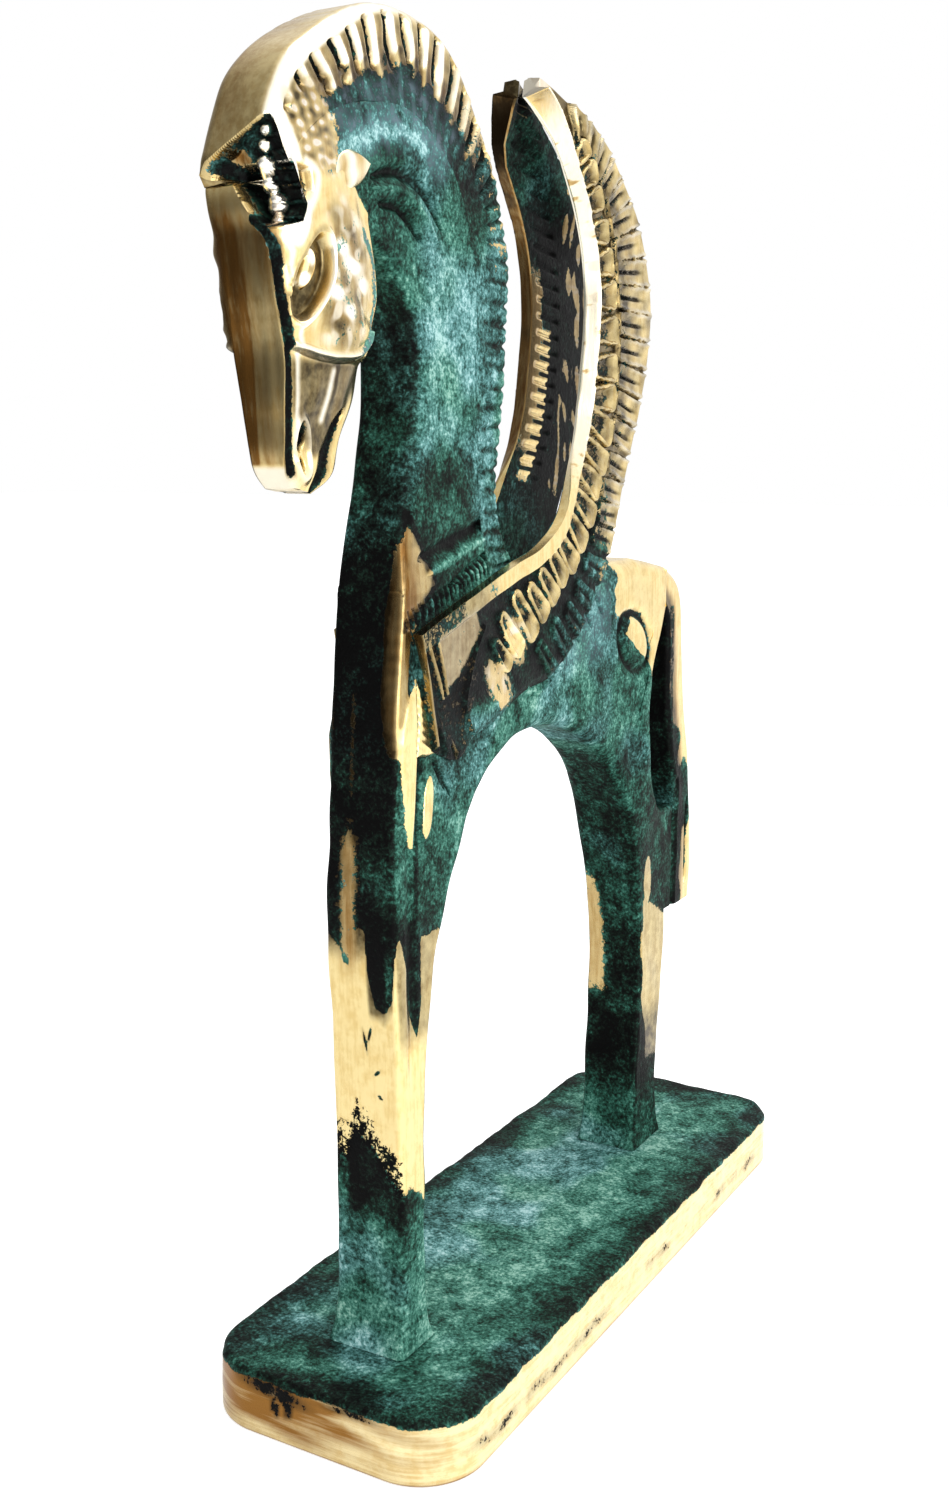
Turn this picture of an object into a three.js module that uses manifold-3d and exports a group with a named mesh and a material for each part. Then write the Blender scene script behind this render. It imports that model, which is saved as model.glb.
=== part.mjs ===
// A small bronze winged horse standing on a flat plate with rounded corners, in the slim archaic style.
// Its members are cast one by one and brazed into one figure; the two feet are tenoned into the plate.
// Millimetres, +Z up. The horse faces -Y and its left side is +X. The origin is the middle of the
// plate's underside. Heights in the outlines below are measured from the top of the plate.

import * as THREE from "three";
import { mergeVertices } from "three/addons/utils/BufferGeometryUtils.js";
import Module from "manifold-3d";

const wasm = await Module();
wasm.setup();

// Base plate
const plateLength = 100;
const plateWidth = 33;
const plateThickness = 7.5;
const plateCornerRadius = 7.7;
const plateEdgeRadius = 0.9;

// Widths of the figure from side to side, halved
const legHalfWidth = 4.55;
const footHalfWidth = 5;
const sideHalfWidth = 4.3;
const haunchHalfWidth = 4.9;
const hindLegHalfWidth = 4.15;
const hindFootHalfWidth = 4.6;
const neckHalfWidth = 3.9;
const crestHalfWidth = 3.5;
const browHalfWidth = 4.4;
const noseHalfWidth = 3.5;
const jowlSwell = 1.7;
const muzzleHalfWidth = 2.6;
const tailHalfWidth = 4.4;

// Wings
const wingThickness = 2;
const wingRootThickness = 1.3;
const wingHalfGap = 3.5;
const wingRimWidth = 3.2;

// Planes at which the cast members meet
const kneeHeight = 57.5;
const backHeight = 84.5;
const shoulderY = -22;
const loinY = 12;
const pollY = -43;
const dockY = 28.5;
const webY = 34.6;
const hockHeight = 33.5;

// Tenons under the feet, and the room round them
const tenonDepth = 4.5;
const tenonWidth = 6;
const foreTenonLength = 2.8;
const hindTenonLength = 3.6;
const tenonClearance = 0.3;
const braze = 0.3; // the seam left between curved faces that meet

// How finely the curves are divided
const legSteps = 2;
const crestSteps = 2;
const headSteps = 2;
const wingSteps = 2;

// Colours of the two finishes
const polished = { color: 0xd8b565, metalness: 1, roughness: 0.28 };
const patina = { color: 0x2f6b62, metalness: 0.35, roughness: 0.72 };

// Outlines in the plane of the profile, as [y, height above the plate]

// Front of the fore legs from the foot up, and the back of them up to the start of the arch
const foreLegFront = [
  [-40.4, 0], [-39.6, 2.5], [-39.1, 8], [-39, 18], [-39.2, 28], [-39.6, 37.5], [-40.2, 45.5], [-40.2, 52.5],
  [-40, kneeHeight],
];
const foreLegBack = [
  [-33.2, 0], [-33.9, 2.5], [-34.3, 8], [-34.3, 18], [-34.2, 28], [-33.2, 37.5], [-31.4, 45.5], [-28.4, 52.5],
  [-25, kneeHeight],
];

// Chest, from the top of the leg to the foot of the neck and back along it to the shoulder plane
const chestFront = [
  [-40, kneeHeight], [-39.5, 65], [-38.9, 73], [-37.6, backHeight], [-31, backHeight], [shoulderY, backHeight],
];
const chestArch = [[-25, kneeHeight], [-24.4, 58.2], [-23.8, 58.8], [-23.2, 59.4], [-22.6, 60], [shoulderY, 60.5]];

// Belly and back of the barrel
const belly = [
  [shoulderY, 60.5], [-19.5, 62.3], [-16, 64.2], [-12, 65.5], [-7.5, 65.8], [-2, 65.3], [3, 63.9], [7.5, 62],
  [loinY, 59.2],
];
const back = [
  [shoulderY, backHeight], [-20, backHeight], [-16, backHeight], [-11.5, backHeight], [-7, 85], [-1, 85.2],
  [5, 85], [9, 84.8], [loinY, 84.5],
];

// Hindquarter: its front edge down the arch, and its rump, dock, the slot beside the tail and the web
const quarterFront = [
  [loinY, 59.2], [14, 57.4], [15.2, 56], [16, 55], [16.6, 54.2], [17.4, 53.1], [18.5, 51.3], [19.6, 49],
  [20.6, 46.5], [21.5, 43.7], [22.2, 41.2], [22.9, 38], [23.6, hockHeight],
];
const quarterRear = [
  [loinY, 84.5], [20.5, 84.8], [dockY, 83.2], [dockY, 77.7], [26, 77], [24.6, 75], [24.1, 69], [24.1, 62],
  [24.8, 55.8], [26.8, 51], [30, 48.7], [webY, 48.5], [webY, hockHeight],
];

// Hind legs from the hock down to the foot
const hindLegFront = [
  [23.6, hockHeight], [24, 27], [23.7, 20], [23.2, 13], [22.9, 7], [22.6, 2.5], [22, 0],
];
const hindLegBack = [
  [32.5, hockHeight], [32.4, 27], [31.5, 20], [30.7, 13], [30.5, 7], [30.9, 2.5], [31.6, 0],
];

// Tail: the edge that faces the haunch and the outer edge
const tailInner = [
  [dockY, 77.7], [29.9, 75.2], [30.1, 70], [30.7, 64], [31.9, 58.5], [33.6, 53.5], [webY, 49.5], [webY, 44], [webY, 38],
  [webY, hockHeight],
];
const tailOuter = [
  [dockY, 83.2], [33.4, 80.6], [35.1, 75], [36.3, 68], [37.7, 61.5], [39.3, 55], [40.4, 49.5], [41.1, 44], [41.6, 38.5],
  [41.3, hockHeight],
];

// The line under the mane, from the withers over the poll to the forehead, and the mane's outer edge
const maneRoot = [
  [-19.7, backHeight], [-21.2, 89.5], [-22, 95.5], [-22.3, 101.5], [-22.4, 107.5], [-22.4, 113.5], [-23.4, 120.5],
  [-27.2, 127], [-34.8, 131.3], [pollY, 131], [-49, 129.1], [-54.3, 125.8], [-57.6, 121.8],
];
const maneEdge = [
  [-11.5, backHeight], [-15.8, 89.5], [-16.8, 95.5], [-15.9, 101.5], [-15, 107.5], [-14.5, 114], [-14.6, 121],
  [-18.4, 130], [-27.5, 139.4], [-39, 140.6], [-47.8, 137.5], [-55.6, 131.8], [-59.4, 123.4],
];

// Throat, from the foot of the neck up into the notch behind the jowl
const throat = [
  [-37.6, backHeight], [-37, 90.5], [-35.6, 96.5], [-34.4, 102.5], [-34.2, 108.5], [-35.9, 113.3], [-39.2, 116.8],
  [-41.8, 118.2], [-42.6, 118.6], [pollY, 118.7],
];

// Head: the flat of the nose from the forehead down, and the jowl and jaw behind it
const nose = [[-57.2, 117.5], [-56.4, 112.5], [-55.4, 107], [-54.8, 102], [-54.3, 97.6], [-52.9, 95.2]];
const jaw = [
  [pollY, 118.7], [-41.6, 115.6], [-41.2, 113], [-41.7, 110.3], [-42.2, 108.4], [-42.7, 106.6], [-43.2, 103.6],
  [-44.9, 100.2], [-46.7, 96.8], [-49.6, 94.6],
];

// Wing: the rim along its leading edge from the shoulder to the tip, and the edge of its feathers
const wingRim = [
  [-36.2, 80], [-30.5, 81.8], [-25.5, 83.3], [-20.5, 84.8], [-15.5, 86.2], [-10.5, 87.4], [-6, 89.5], [-3.4, 92],
  [-0.8, 96.5], [1.2, 100], [2.6, 104], [3.5, 108.5], [4.2, 112.8], [4.3, 117.5], [3.4, 122.2], [1.5, 126.3],
  [-0.5, 129.2], [-2.3, 131.6], [-3.6, 133.9], [-4.7, 136.4], [-5.7, 138.4],
];
const wingFeatherEdge = [
  [-33.4, 67.3], [-28, 65.5], [-24.5, 67.5], [-19, 68.7], [-12.5, 71], [-5, 72.3], [2.5, 77], [9, 84.2],
  [12, 90], [14, 94.5], [16.6, 99.5], [19.4, 105.5], [21.2, 111], [21.8, 116.7], [20, 122.4], [16.8, 127.6],
  [13, 130.8], [8.6, 134.3], [3.7, 136.8], [-1.2, 138.8], [-5.2, 140.5],
];
const freeWingFrom = 8; // the first of the wing's outline points that stands clear of the back

// Half gap between the wings and half width over them at the last four points, where the tips close in
const tipHalfGaps = [3.5, 3, 1.6, 0.3];
const tipHalfWidths = [5.5, 5.4, 5.3, 5.2];

// Ears: root and tip beside the poll
const earRoot = [-50.5, 122.4];
const earTip = [-44.2, 125.4];
const earRootHalfHeight = 1.5;
const earThickness = 1.3;

// Geometry helpers

// Value of a smooth curve through a list of numbers; place runs from 0 at the first to the last index
function smooth(list, place) {
  const last = list.length - 1;
  const i = Math.min(Math.floor(place), last - 1);
  const t = place - i;
  if (t === 0) return list[i];
  if (t === 1) return list[i + 1];
  const p0 = list[Math.max(i - 1, 0)];
  const p1 = list[i];
  const p2 = list[i + 1];
  const p3 = list[Math.min(i + 2, last)];
  const bend = 2 * p0 - 5 * p1 + 4 * p2 - p3;
  return 0.5 * (2 * p1 + (p2 - p0) * t + bend * t * t + (3 * p1 - p0 - 3 * p2 + p3) * t * t * t);
}

// A list of numbers or of points with steps - 1 new ones set between each two, on a smooth curve
function refine(list, steps) {
  const places = Array.from({ length: (list.length - 1) * steps + 1 }, (_, k) => k / steps);
  if (!Array.isArray(list[0])) return places.map((place) => smooth(list, place));
  return places.map((place) => list[0].map((_, axis) => smooth(list.map((point) => point[axis]), place)));
}

// Closed geometry from a row of rings that all have the same number of corners
function loft(rings) {
  const size = rings[0].length;
  const index = [];
  for (let i = 0; i < rings.length - 1; i += 1) {
    for (let j = 0; j < size; j += 1) {
      const a = i * size + j;
      const b = i * size + (j + 1) % size;
      index.push(a, b, b + size, a, b + size, a + size);
    }
  }
  const lastRing = (rings.length - 1) * size;
  for (let j = 1; j < size - 1; j += 1) {
    index.push(0, j + 1, j);
    index.push(lastRing, lastRing + j, lastRing + j + 1);
  }
  const geometry = new THREE.BufferGeometry();
  geometry.setAttribute("position", new THREE.Float32BufferAttribute(rings.flat(2), 3));
  geometry.setIndex(index);
  return geometry;
}

// Point between an inner and an outer outline point, moved out to x
function between(inner, outer, share, x) {
  return [x, inner[0] + (outer[0] - inner[0]) * share, inner[1] + (outer[1] - inner[1]) * share];
}

// Ring round a bar that spans from an inner to an outer outline point and from side to side.
// innerHalf and outerHalf are its half widths at the two ends, swell widens its middle, and the two
// rounds are the radii of its corners.
function barRing(inner, outer, { innerHalf, outerHalf = innerHalf, swell = 0, innerRound = 0.7, outerRound = 0.7 }) {
  const span = Math.hypot(outer[0] - inner[0], outer[1] - inner[1]);
  const near = Math.min(innerRound, span * 0.4);
  const far = Math.min(outerRound, span * 0.4);
  const turns = [0, 30, 60, 90].map((degrees) => THREE.MathUtils.degToRad(degrees));
  const section = [
    ...turns.map((turn) => [near * (1 - Math.cos(turn)), near * (1 - Math.sin(turn))]),
    [span * 0.42, 0],
    [span * 0.58, 0],
    ...turns.toReversed().map((turn) => [span - far * (1 - Math.cos(turn)), far * (1 - Math.sin(turn))]),
  ];
  const left = section.map(([along, drop]) => {
    const share = along / span;
    const half = innerHalf + (outerHalf - innerHalf) * share + swell * 4 * share * (1 - share);
    return between(inner, outer, share, half - drop);
  });
  return [...left, ...left.toReversed().map(([x, y, z]) => [-x, y, z])];
}

// Bar lofted along two outlines with as many points each; each named width is one number or a list
// with a number for each point
function bar(inner, outer, widths) {
  const at = (value, i) => (Array.isArray(value) ? value[i] : value);
  const rings = inner.map((point, i) => {
    const here = Object.fromEntries(Object.entries(widths).map(([name, value]) => [name, at(value, i)]));
    return barRing(point, outer[i], here);
  });
  return loft(rings);
}

// Manifold solid from a geometry, turned outwards where its faces point in
function solid(geometry) {
  const bare = geometry.clone();
  bare.deleteAttribute("normal");
  bare.deleteAttribute("uv");
  const merged = mergeVertices(bare, 1e-5);
  const points = merged.getAttribute("position").array;
  const corners = Uint32Array.from(merged.getIndex().array);
  const [a, b, c] = [new THREE.Vector3(), new THREE.Vector3(), new THREE.Vector3()];
  let volume = 0;
  for (let i = 0; i < corners.length; i += 3) {
    a.fromArray(points, corners[i] * 3);
    b.fromArray(points, corners[i + 1] * 3);
    c.fromArray(points, corners[i + 2] * 3);
    volume += a.dot(b.cross(c));
  }
  if (volume < 0) {
    for (let i = 0; i < corners.length; i += 3) {
      [corners[i + 1], corners[i + 2]] = [corners[i + 2], corners[i + 1]];
    }
  }
  const mesh = new wasm.Mesh({ numProp: 3, vertProperties: Float32Array.from(points), triVerts: corners });
  return new wasm.Manifold(mesh);
}

// Named mesh of a manifold solid
function part(name, body, finish) {
  const { vertProperties, triVerts } = body.getMesh();
  const geometry = new THREE.BufferGeometry();
  geometry.setAttribute("position", new THREE.BufferAttribute(vertProperties, 3));
  geometry.setIndex(new THREE.BufferAttribute(triVerts, 1));
  geometry.computeVertexNormals();
  const mesh = new THREE.Mesh(geometry, new THREE.MeshStandardMaterial(finish));
  mesh.name = name;
  return mesh;
}

// Solid block from side to side of the figure, between two heights
function block(width, length, y, low, high) {
  return solid(new THREE.BoxGeometry(width, length, high - low).translate(0, y, (low + high) / 2));
}

// Feet, tenons and plate

// Middle of a foot along Y, from its front and back outlines
function footMiddle(front, rear) {
  return (front[0][0] + rear[0][0]) / 2;
}

const foreFootY = footMiddle(foreLegFront, foreLegBack);
const hindFootY = footMiddle(hindLegFront, hindLegBack);

// Tenon that runs from a little way up the foot down into the plate
function tenon(length, y) {
  const grip = 1.5;
  return block(tenonWidth, length, y, -tenonDepth, grip);
}

// Socket for it, wider and deeper by the clearance and open at the top of the plate
function socket(length, y) {
  const over = 1;
  return block(tenonWidth + 2 * tenonClearance, length + 2 * tenonClearance, y, -tenonDepth - tenonClearance, over);
}

// Outline of the plate drawn in from its edge, as a ring at one height
function plateRing(inset, z) {
  const radius = plateCornerRadius - inset;
  const x = plateWidth / 2 - plateCornerRadius;
  const y = plateLength / 2 - plateCornerRadius;
  const steps = 6;
  return [[x, y], [-x, y], [-x, -y], [x, -y]].flatMap(([middleX, middleY], quarter) => (
    Array.from({ length: steps + 1 }, (_, step) => {
      const angle = (quarter + step / steps) * Math.PI / 2;
      return [middleX + radius * Math.cos(angle), middleY + radius * Math.sin(angle), z];
    })
  ));
}

function basePlate() {
  const edge = plateEdgeRadius;
  const plate = solid(loft([
    plateRing(edge * 0.5, -plateThickness),
    plateRing(0, -plateThickness + edge * 0.5),
    plateRing(0, -edge),
    plateRing(edge * 0.3, -edge * 0.3),
    plateRing(edge, 0),
  ]));
  return plate.subtract(socket(foreTenonLength, foreFootY)).subtract(socket(hindTenonLength, hindFootY));
}

function foreLeg() {
  const leg = legHalfWidth;
  const widths = [footHalfWidth, (footHalfWidth + 2 * leg) / 3, leg, leg, leg, leg, leg, leg, sideHalfWidth];
  const shape = bar(refine(foreLegBack, legSteps), refine(foreLegFront, legSteps), {
    innerHalf: refine(widths, legSteps),
  });
  return solid(shape).add(tenon(foreTenonLength, foreFootY));
}

function hindLeg() {
  const leg = hindLegHalfWidth;
  const widths = [leg, leg, leg, leg, leg, (hindFootHalfWidth + 2 * leg) / 3, hindFootHalfWidth];
  const shape = bar(refine(hindLegFront, legSteps), refine(hindLegBack, legSteps), {
    innerHalf: refine(widths, legSteps),
  });
  return solid(shape).add(tenon(hindTenonLength, hindFootY));
}

// Trunk

function chest() {
  return solid(bar(chestArch, chestFront, {
    innerHalf: sideHalfWidth,
    innerRound: [0.7, 0.9, 1.1, 1.4, 1.7, 2],
    outerRound: [0.7, 0.7, 0.7, 0.7, 0.3, 0.3],
  }));
}

function barrel() {
  return solid(bar(belly, back, {
    innerHalf: sideHalfWidth,
    innerRound: 2,
    outerRound: [0.3, 0.3, 0.3, 0.3, 2.4, 2.4, 2.4, 2.4, 2.4],
  }));
}

function hindquarter() {
  const side = sideHalfWidth;
  const full = haunchHalfWidth;
  const leg = hindLegHalfWidth;
  return solid(bar(quarterFront, quarterRear, {
    innerHalf: [side, side, side, side, side, side, side, side, side, side, side, leg, leg],
    outerHalf: [side, (side + full) / 2, full, full, full, full, full, full, full, full, side, leg, leg],
    swell: [0, 0.1, 0.2, 0.3, 0.3, 0.4, 0.5, 0.5, 0.4, 0.3, 0.2, 0.1, 0],
    innerRound: [2, 2, 1.9, 1.8, 1.6, 1.4, 1.3, 1.2, 1, 0.9, 0.8, 0.7, 0.7],
    outerRound: [2.4, 2.2, 1, 1, 1, 1.4, 1.6, 1.6, 1.4, 0.9, 0.7, 0.7, 0.7],
  }));
}

function tail() {
  const last = tailInner.length - 1;
  const taper = tailInner.map((_, i) => haunchHalfWidth + (tailHalfWidth - haunchHalfWidth) * i / last);
  return solid(bar(tailInner, tailOuter, { innerHalf: taper, innerRound: 0.8, outerRound: 1.2 }));
}

// Neck, mane and head

const pollIndex = maneRoot.findIndex(([y]) => y === pollY);

function neck() {
  const root = refine(maneRoot, crestSteps).slice(0, pollIndex * crestSteps + 1);
  return solid(bar(root, refine(throat, crestSteps), { innerHalf: neckHalfWidth, innerRound: 0.5, outerRound: 1 }));
}

// Mane: a crest that stands on the withers and lies along the neck and the top of the head
function mane() {
  const edge = refine(maneEdge, crestSteps);
  const root = refine(maneRoot, crestSteps).map(([y, z], i) => {
    const span = Math.hypot(edge[i][0] - y, edge[i][1] - z);
    const lift = braze / span;
    return [y + (edge[i][0] - y) * lift, z + (edge[i][1] - z) * lift];
  });
  return solid(bar(root, edge, { innerHalf: crestHalfWidth, innerRound: 0.4, outerRound: 0.6 }));
}

// Ear: a pointed leaf laid back from the poll, its root sunk into the side of the head
function ear(side) {
  const sunk = 1.5;
  const ring = (share, halfHeight, thickness) => {
    const y = earRoot[0] + (earTip[0] - earRoot[0]) * share;
    const z = earRoot[1] + (earTip[1] - earRoot[1]) * share;
    const low = neckHalfWidth - sunk;
    const high = neckHalfWidth + thickness;
    return [[low, -1], [high - 0.3, -0.8], [high, 0], [high - 0.3, 0.8], [low, 1]].map(
      ([x, rise]) => [side * x, y, z + halfHeight * rise],
    );
  };
  return solid(loft([
    ring(0, earRootHalfHeight, earThickness),
    ring(0.45, earRootHalfHeight * 0.8, earThickness * 0.85),
    ring(1, earRootHalfHeight * 0.15, earThickness * 0.3),
  ]));
}

function head() {
  const upper = [...maneRoot.slice(pollIndex), ...nose];
  const flat = noseHalfWidth;
  const lip = muzzleHalfWidth;
  const front = [neckHalfWidth, neckHalfWidth, browHalfWidth, 4, flat, flat, flat, (flat + lip) / 2, lip, lip * 0.75];
  const rear = [neckHalfWidth, neckHalfWidth, 3.8, flat, flat, 3.1, 2.8, lip, lip, lip * 0.75];
  const jowl = [0, 0.1, 0.35, 0.75, 1, 0.85, 0.45, 0.15, 0.05, 0].map((share) => share * jowlSwell);
  const shape = bar(refine(upper, headSteps), refine(jaw, headSteps), {
    innerHalf: refine(front, headSteps),
    outerHalf: refine(rear, headSteps),
    swell: refine(jowl, headSteps),
    innerRound: 0.5,
    outerRound: 0.9,
  });
  return solid(shape).add(ear(1)).add(ear(-1));
}

// Wings

// Ring across a wing from its rim to its feather edge: a raised rim, then feathers that thin outwards
function wingRing(rim, edge, inside, thickness, side) {
  const span = Math.hypot(edge[0] - rim[0], edge[1] - rim[1]);
  const bead = Math.min(wingRimWidth / span, 0.6);
  const section = [
    [0, 0.2], [0, 0.75], [bead * 0.3, 1], [bead * 0.9, 1], [bead * 1.2, 0.75], [0.75, 0.8], [0.97, 0.6], [1, 0.4],
    [1, 0.1], [0.97, 0], [bead, 0], [bead * 0.2, 0],
  ];
  return section.map(([share, rise]) => between(rim, edge, share, side * (inside + thickness * rise)));
}

// Distances from the middle plane to the inner and the outer face of a wing at outline point i
function wingFaces(i) {
  const tip = i - (wingRim.length - tipHalfGaps.length);
  if (tip >= 0) return [tipHalfGaps[tip], tipHalfWidths[tip]];
  const draw = THREE.MathUtils.clamp((i - freeWingFrom + 1) / 3, 0, 1);
  const inner = THREE.MathUtils.lerp(sideHalfWidth, wingHalfGap, draw);
  return [inner, inner + THREE.MathUtils.lerp(wingRootThickness, wingThickness, draw)];
}

// Wing: brazed flat against the shoulder and the barrel, then free above the back, where it draws in
// a little towards its fellow; at the top the two tips all but meet
function wing(side) {
  const rims = refine(wingRim, wingSteps);
  const edges = refine(wingFeatherEdge, wingSteps);
  const rings = rims.map((rim, k) => {
    const i = Math.min(Math.floor(k / wingSteps), wingRim.length - 2);
    const [from, to] = [wingFaces(i), wingFaces(i + 1)];
    const [inner, outer] = from.map((x, face) => THREE.MathUtils.lerp(x, to[face], k / wingSteps - i));
    return wingRing(rim, edges[k], inner, outer - inner, side);
  });
  return solid(loft(rings));
}

const figure = new THREE.Group();
figure.position.z = plateThickness;
figure.add(
  part("base_plate", basePlate(), patina),
  part("fore_leg", foreLeg(), polished),
  part("chest", chest(), patina),
  part("barrel", barrel(), patina),
  part("hindquarter", hindquarter(), patina),
  part("hind_leg", hindLeg(), patina),
  part("tail", tail(), polished),
  part("neck", neck(), patina),
  part("mane", mane(), polished),
  part("head", head(), polished),
  part("left_wing", wing(1), polished),
  part("right_wing", wing(-1), polished),
);

export default figure;
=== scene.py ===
from functools import reduce

import bpy
import numpy as np
from mathutils import Matrix, Vector


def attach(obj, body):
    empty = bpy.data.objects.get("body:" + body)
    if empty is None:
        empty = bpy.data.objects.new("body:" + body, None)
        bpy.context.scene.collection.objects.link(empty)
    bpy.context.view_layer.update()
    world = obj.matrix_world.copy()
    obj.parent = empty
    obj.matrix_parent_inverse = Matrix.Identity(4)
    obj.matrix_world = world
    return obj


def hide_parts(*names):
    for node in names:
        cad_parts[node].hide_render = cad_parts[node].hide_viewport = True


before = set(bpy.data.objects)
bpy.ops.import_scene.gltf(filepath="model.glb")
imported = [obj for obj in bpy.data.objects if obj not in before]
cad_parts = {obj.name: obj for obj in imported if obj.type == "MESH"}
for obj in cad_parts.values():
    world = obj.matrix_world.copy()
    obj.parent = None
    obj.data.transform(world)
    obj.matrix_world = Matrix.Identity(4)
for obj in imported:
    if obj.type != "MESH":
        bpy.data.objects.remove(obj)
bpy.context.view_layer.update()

# Everything below is worked out in millimetres, with heights counted from the top of the plate.
plateTop = 7.5
toMetres = 0.001


# Camera
view = {
    "place": (0.09214, -0.17575, 0.10606),
    "right": (0.8661, 0.4998, 0.0013),
    "up": (-0.0921, 0.1582, 0.9831),
    "lens": 38.4,
}


def makeCamera():
    right, up = Vector(view["right"]).normalized(), Vector(view["up"])
    back = right.cross(up).normalized()
    up = back.cross(right)
    data = bpy.data.cameras.new("photographView")
    data.lens = view["lens"]
    data.sensor_width = 36
    data.clip_start = 0.01
    camera = bpy.data.objects.new("photographView", data)
    turn = Matrix((right, up, back)).transposed().to_4x4()
    camera.matrix_world = Matrix.Translation(view["place"]) @ turn
    bpy.context.scene.collection.objects.link(camera)
    bpy.context.scene.camera = camera


makeCamera()
print("camera set")


# Shader maths
class Wire:
    # an output socket that can be added, multiplied and so on

    def __init__(self, net, socket):
        self.net, self.socket = net, socket

    def __add__(self, other):
        return self.net.maths("ADD", self, other)

    def __radd__(self, other):
        return self.net.maths("ADD", other, self)

    def __sub__(self, other):
        return self.net.maths("SUBTRACT", self, other)

    def __rsub__(self, other):
        return self.net.maths("SUBTRACT", other, self)

    def __mul__(self, other):
        return self.net.maths("MULTIPLY", self, other)

    def __rmul__(self, other):
        return self.net.maths("MULTIPLY", other, self)

    def most(self, other):
        return self.net.maths("MAXIMUM", self, other)

    def least(self, other):
        return self.net.maths("MINIMUM", self, other)


class Net:
    # the node tree of one material or of the world

    def __init__(self, tree):
        self.tree = tree
        tree.nodes.clear()

    def node(self, kind, settings=None, values=None, out=0):
        made = self.tree.nodes.new(kind)
        for name, value in (settings or {}).items():
            if name == "stops":
                ramp = made.color_ramp.elements
                while len(ramp) < len(value):
                    ramp.new(0.5)
                for element, (place, colour) in zip(ramp, value):
                    element.position = place
                    element.color = (*colour, 1)
            else:
                setattr(made, name, value)
        for name, value in (values or {}).items():
            if isinstance(value, Wire):
                self.tree.links.new(value.socket, made.inputs[name])
            else:
                made.inputs[name].default_value = value
        return Wire(self, made.outputs[out]) if len(made.outputs) else None

    def maths(self, operation, first, second):
        return self.node("ShaderNodeMath", {"operation": operation}, {0: first, 1: second})

    def blendColour(self, share, first, second):
        inputs = {0: share, 6: first, 7: second}
        return self.node("ShaderNodeMix", {"data_type": "RGBA"}, inputs, out=2)

    def between(self, low, high, value):
        inputs = {"Value": value, "From Min": low, "From Max": high}
        return self.node("ShaderNodeMapRange", {"interpolation_type": "SMOOTHSTEP"}, inputs)

    def attribute(self, name):
        return self.node("ShaderNodeAttribute", {"attribute_name": name}, out="Fac")


# Bronze finish
bronze = {
    "brass": (0.88, 0.70, 0.335, 1),
    # near white, used for painted highlights
    "pale": (1.0, 0.97, 0.86, 1),
    "brassDeep": (0.70, 0.47, 0.155, 1),
    # brown, used for tarnish and for painted reflections
    "tarnishAndReflection": (0.27, 0.125, 0.028, 1),
    # near black, used for soot and for painted shade
    "dark": (0.014, 0.010, 0.006, 1),
    "patinaStops": [
        (0.0, (0.40, 0.62, 0.62)),
        (0.20, (0.15, 0.34, 0.335)),
        (0.40, (0.056, 0.160, 0.150)),
        (0.58, (0.020, 0.058, 0.050)),
        (0.76, (0.007, 0.016, 0.013)),
        (1.0, (0.002, 0.002, 0.002)),
    ],
    "greenStops": [
        (0.0, (0.28, 0.50, 0.41)),
        (0.20, (0.09, 0.26, 0.20)),
        (0.40, (0.032, 0.120, 0.088)),
        (0.58, (0.013, 0.047, 0.033)),
        (0.76, (0.006, 0.013, 0.009)),
        (1.0, (0.002, 0.002, 0.002)),
    ],
    "steel": (0.17, 0.245, 0.29, 1),
    "patchSize": 5.0,   # mm
    "mottleSize": 1.5,
    "speckSize": 0.42,
}


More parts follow.
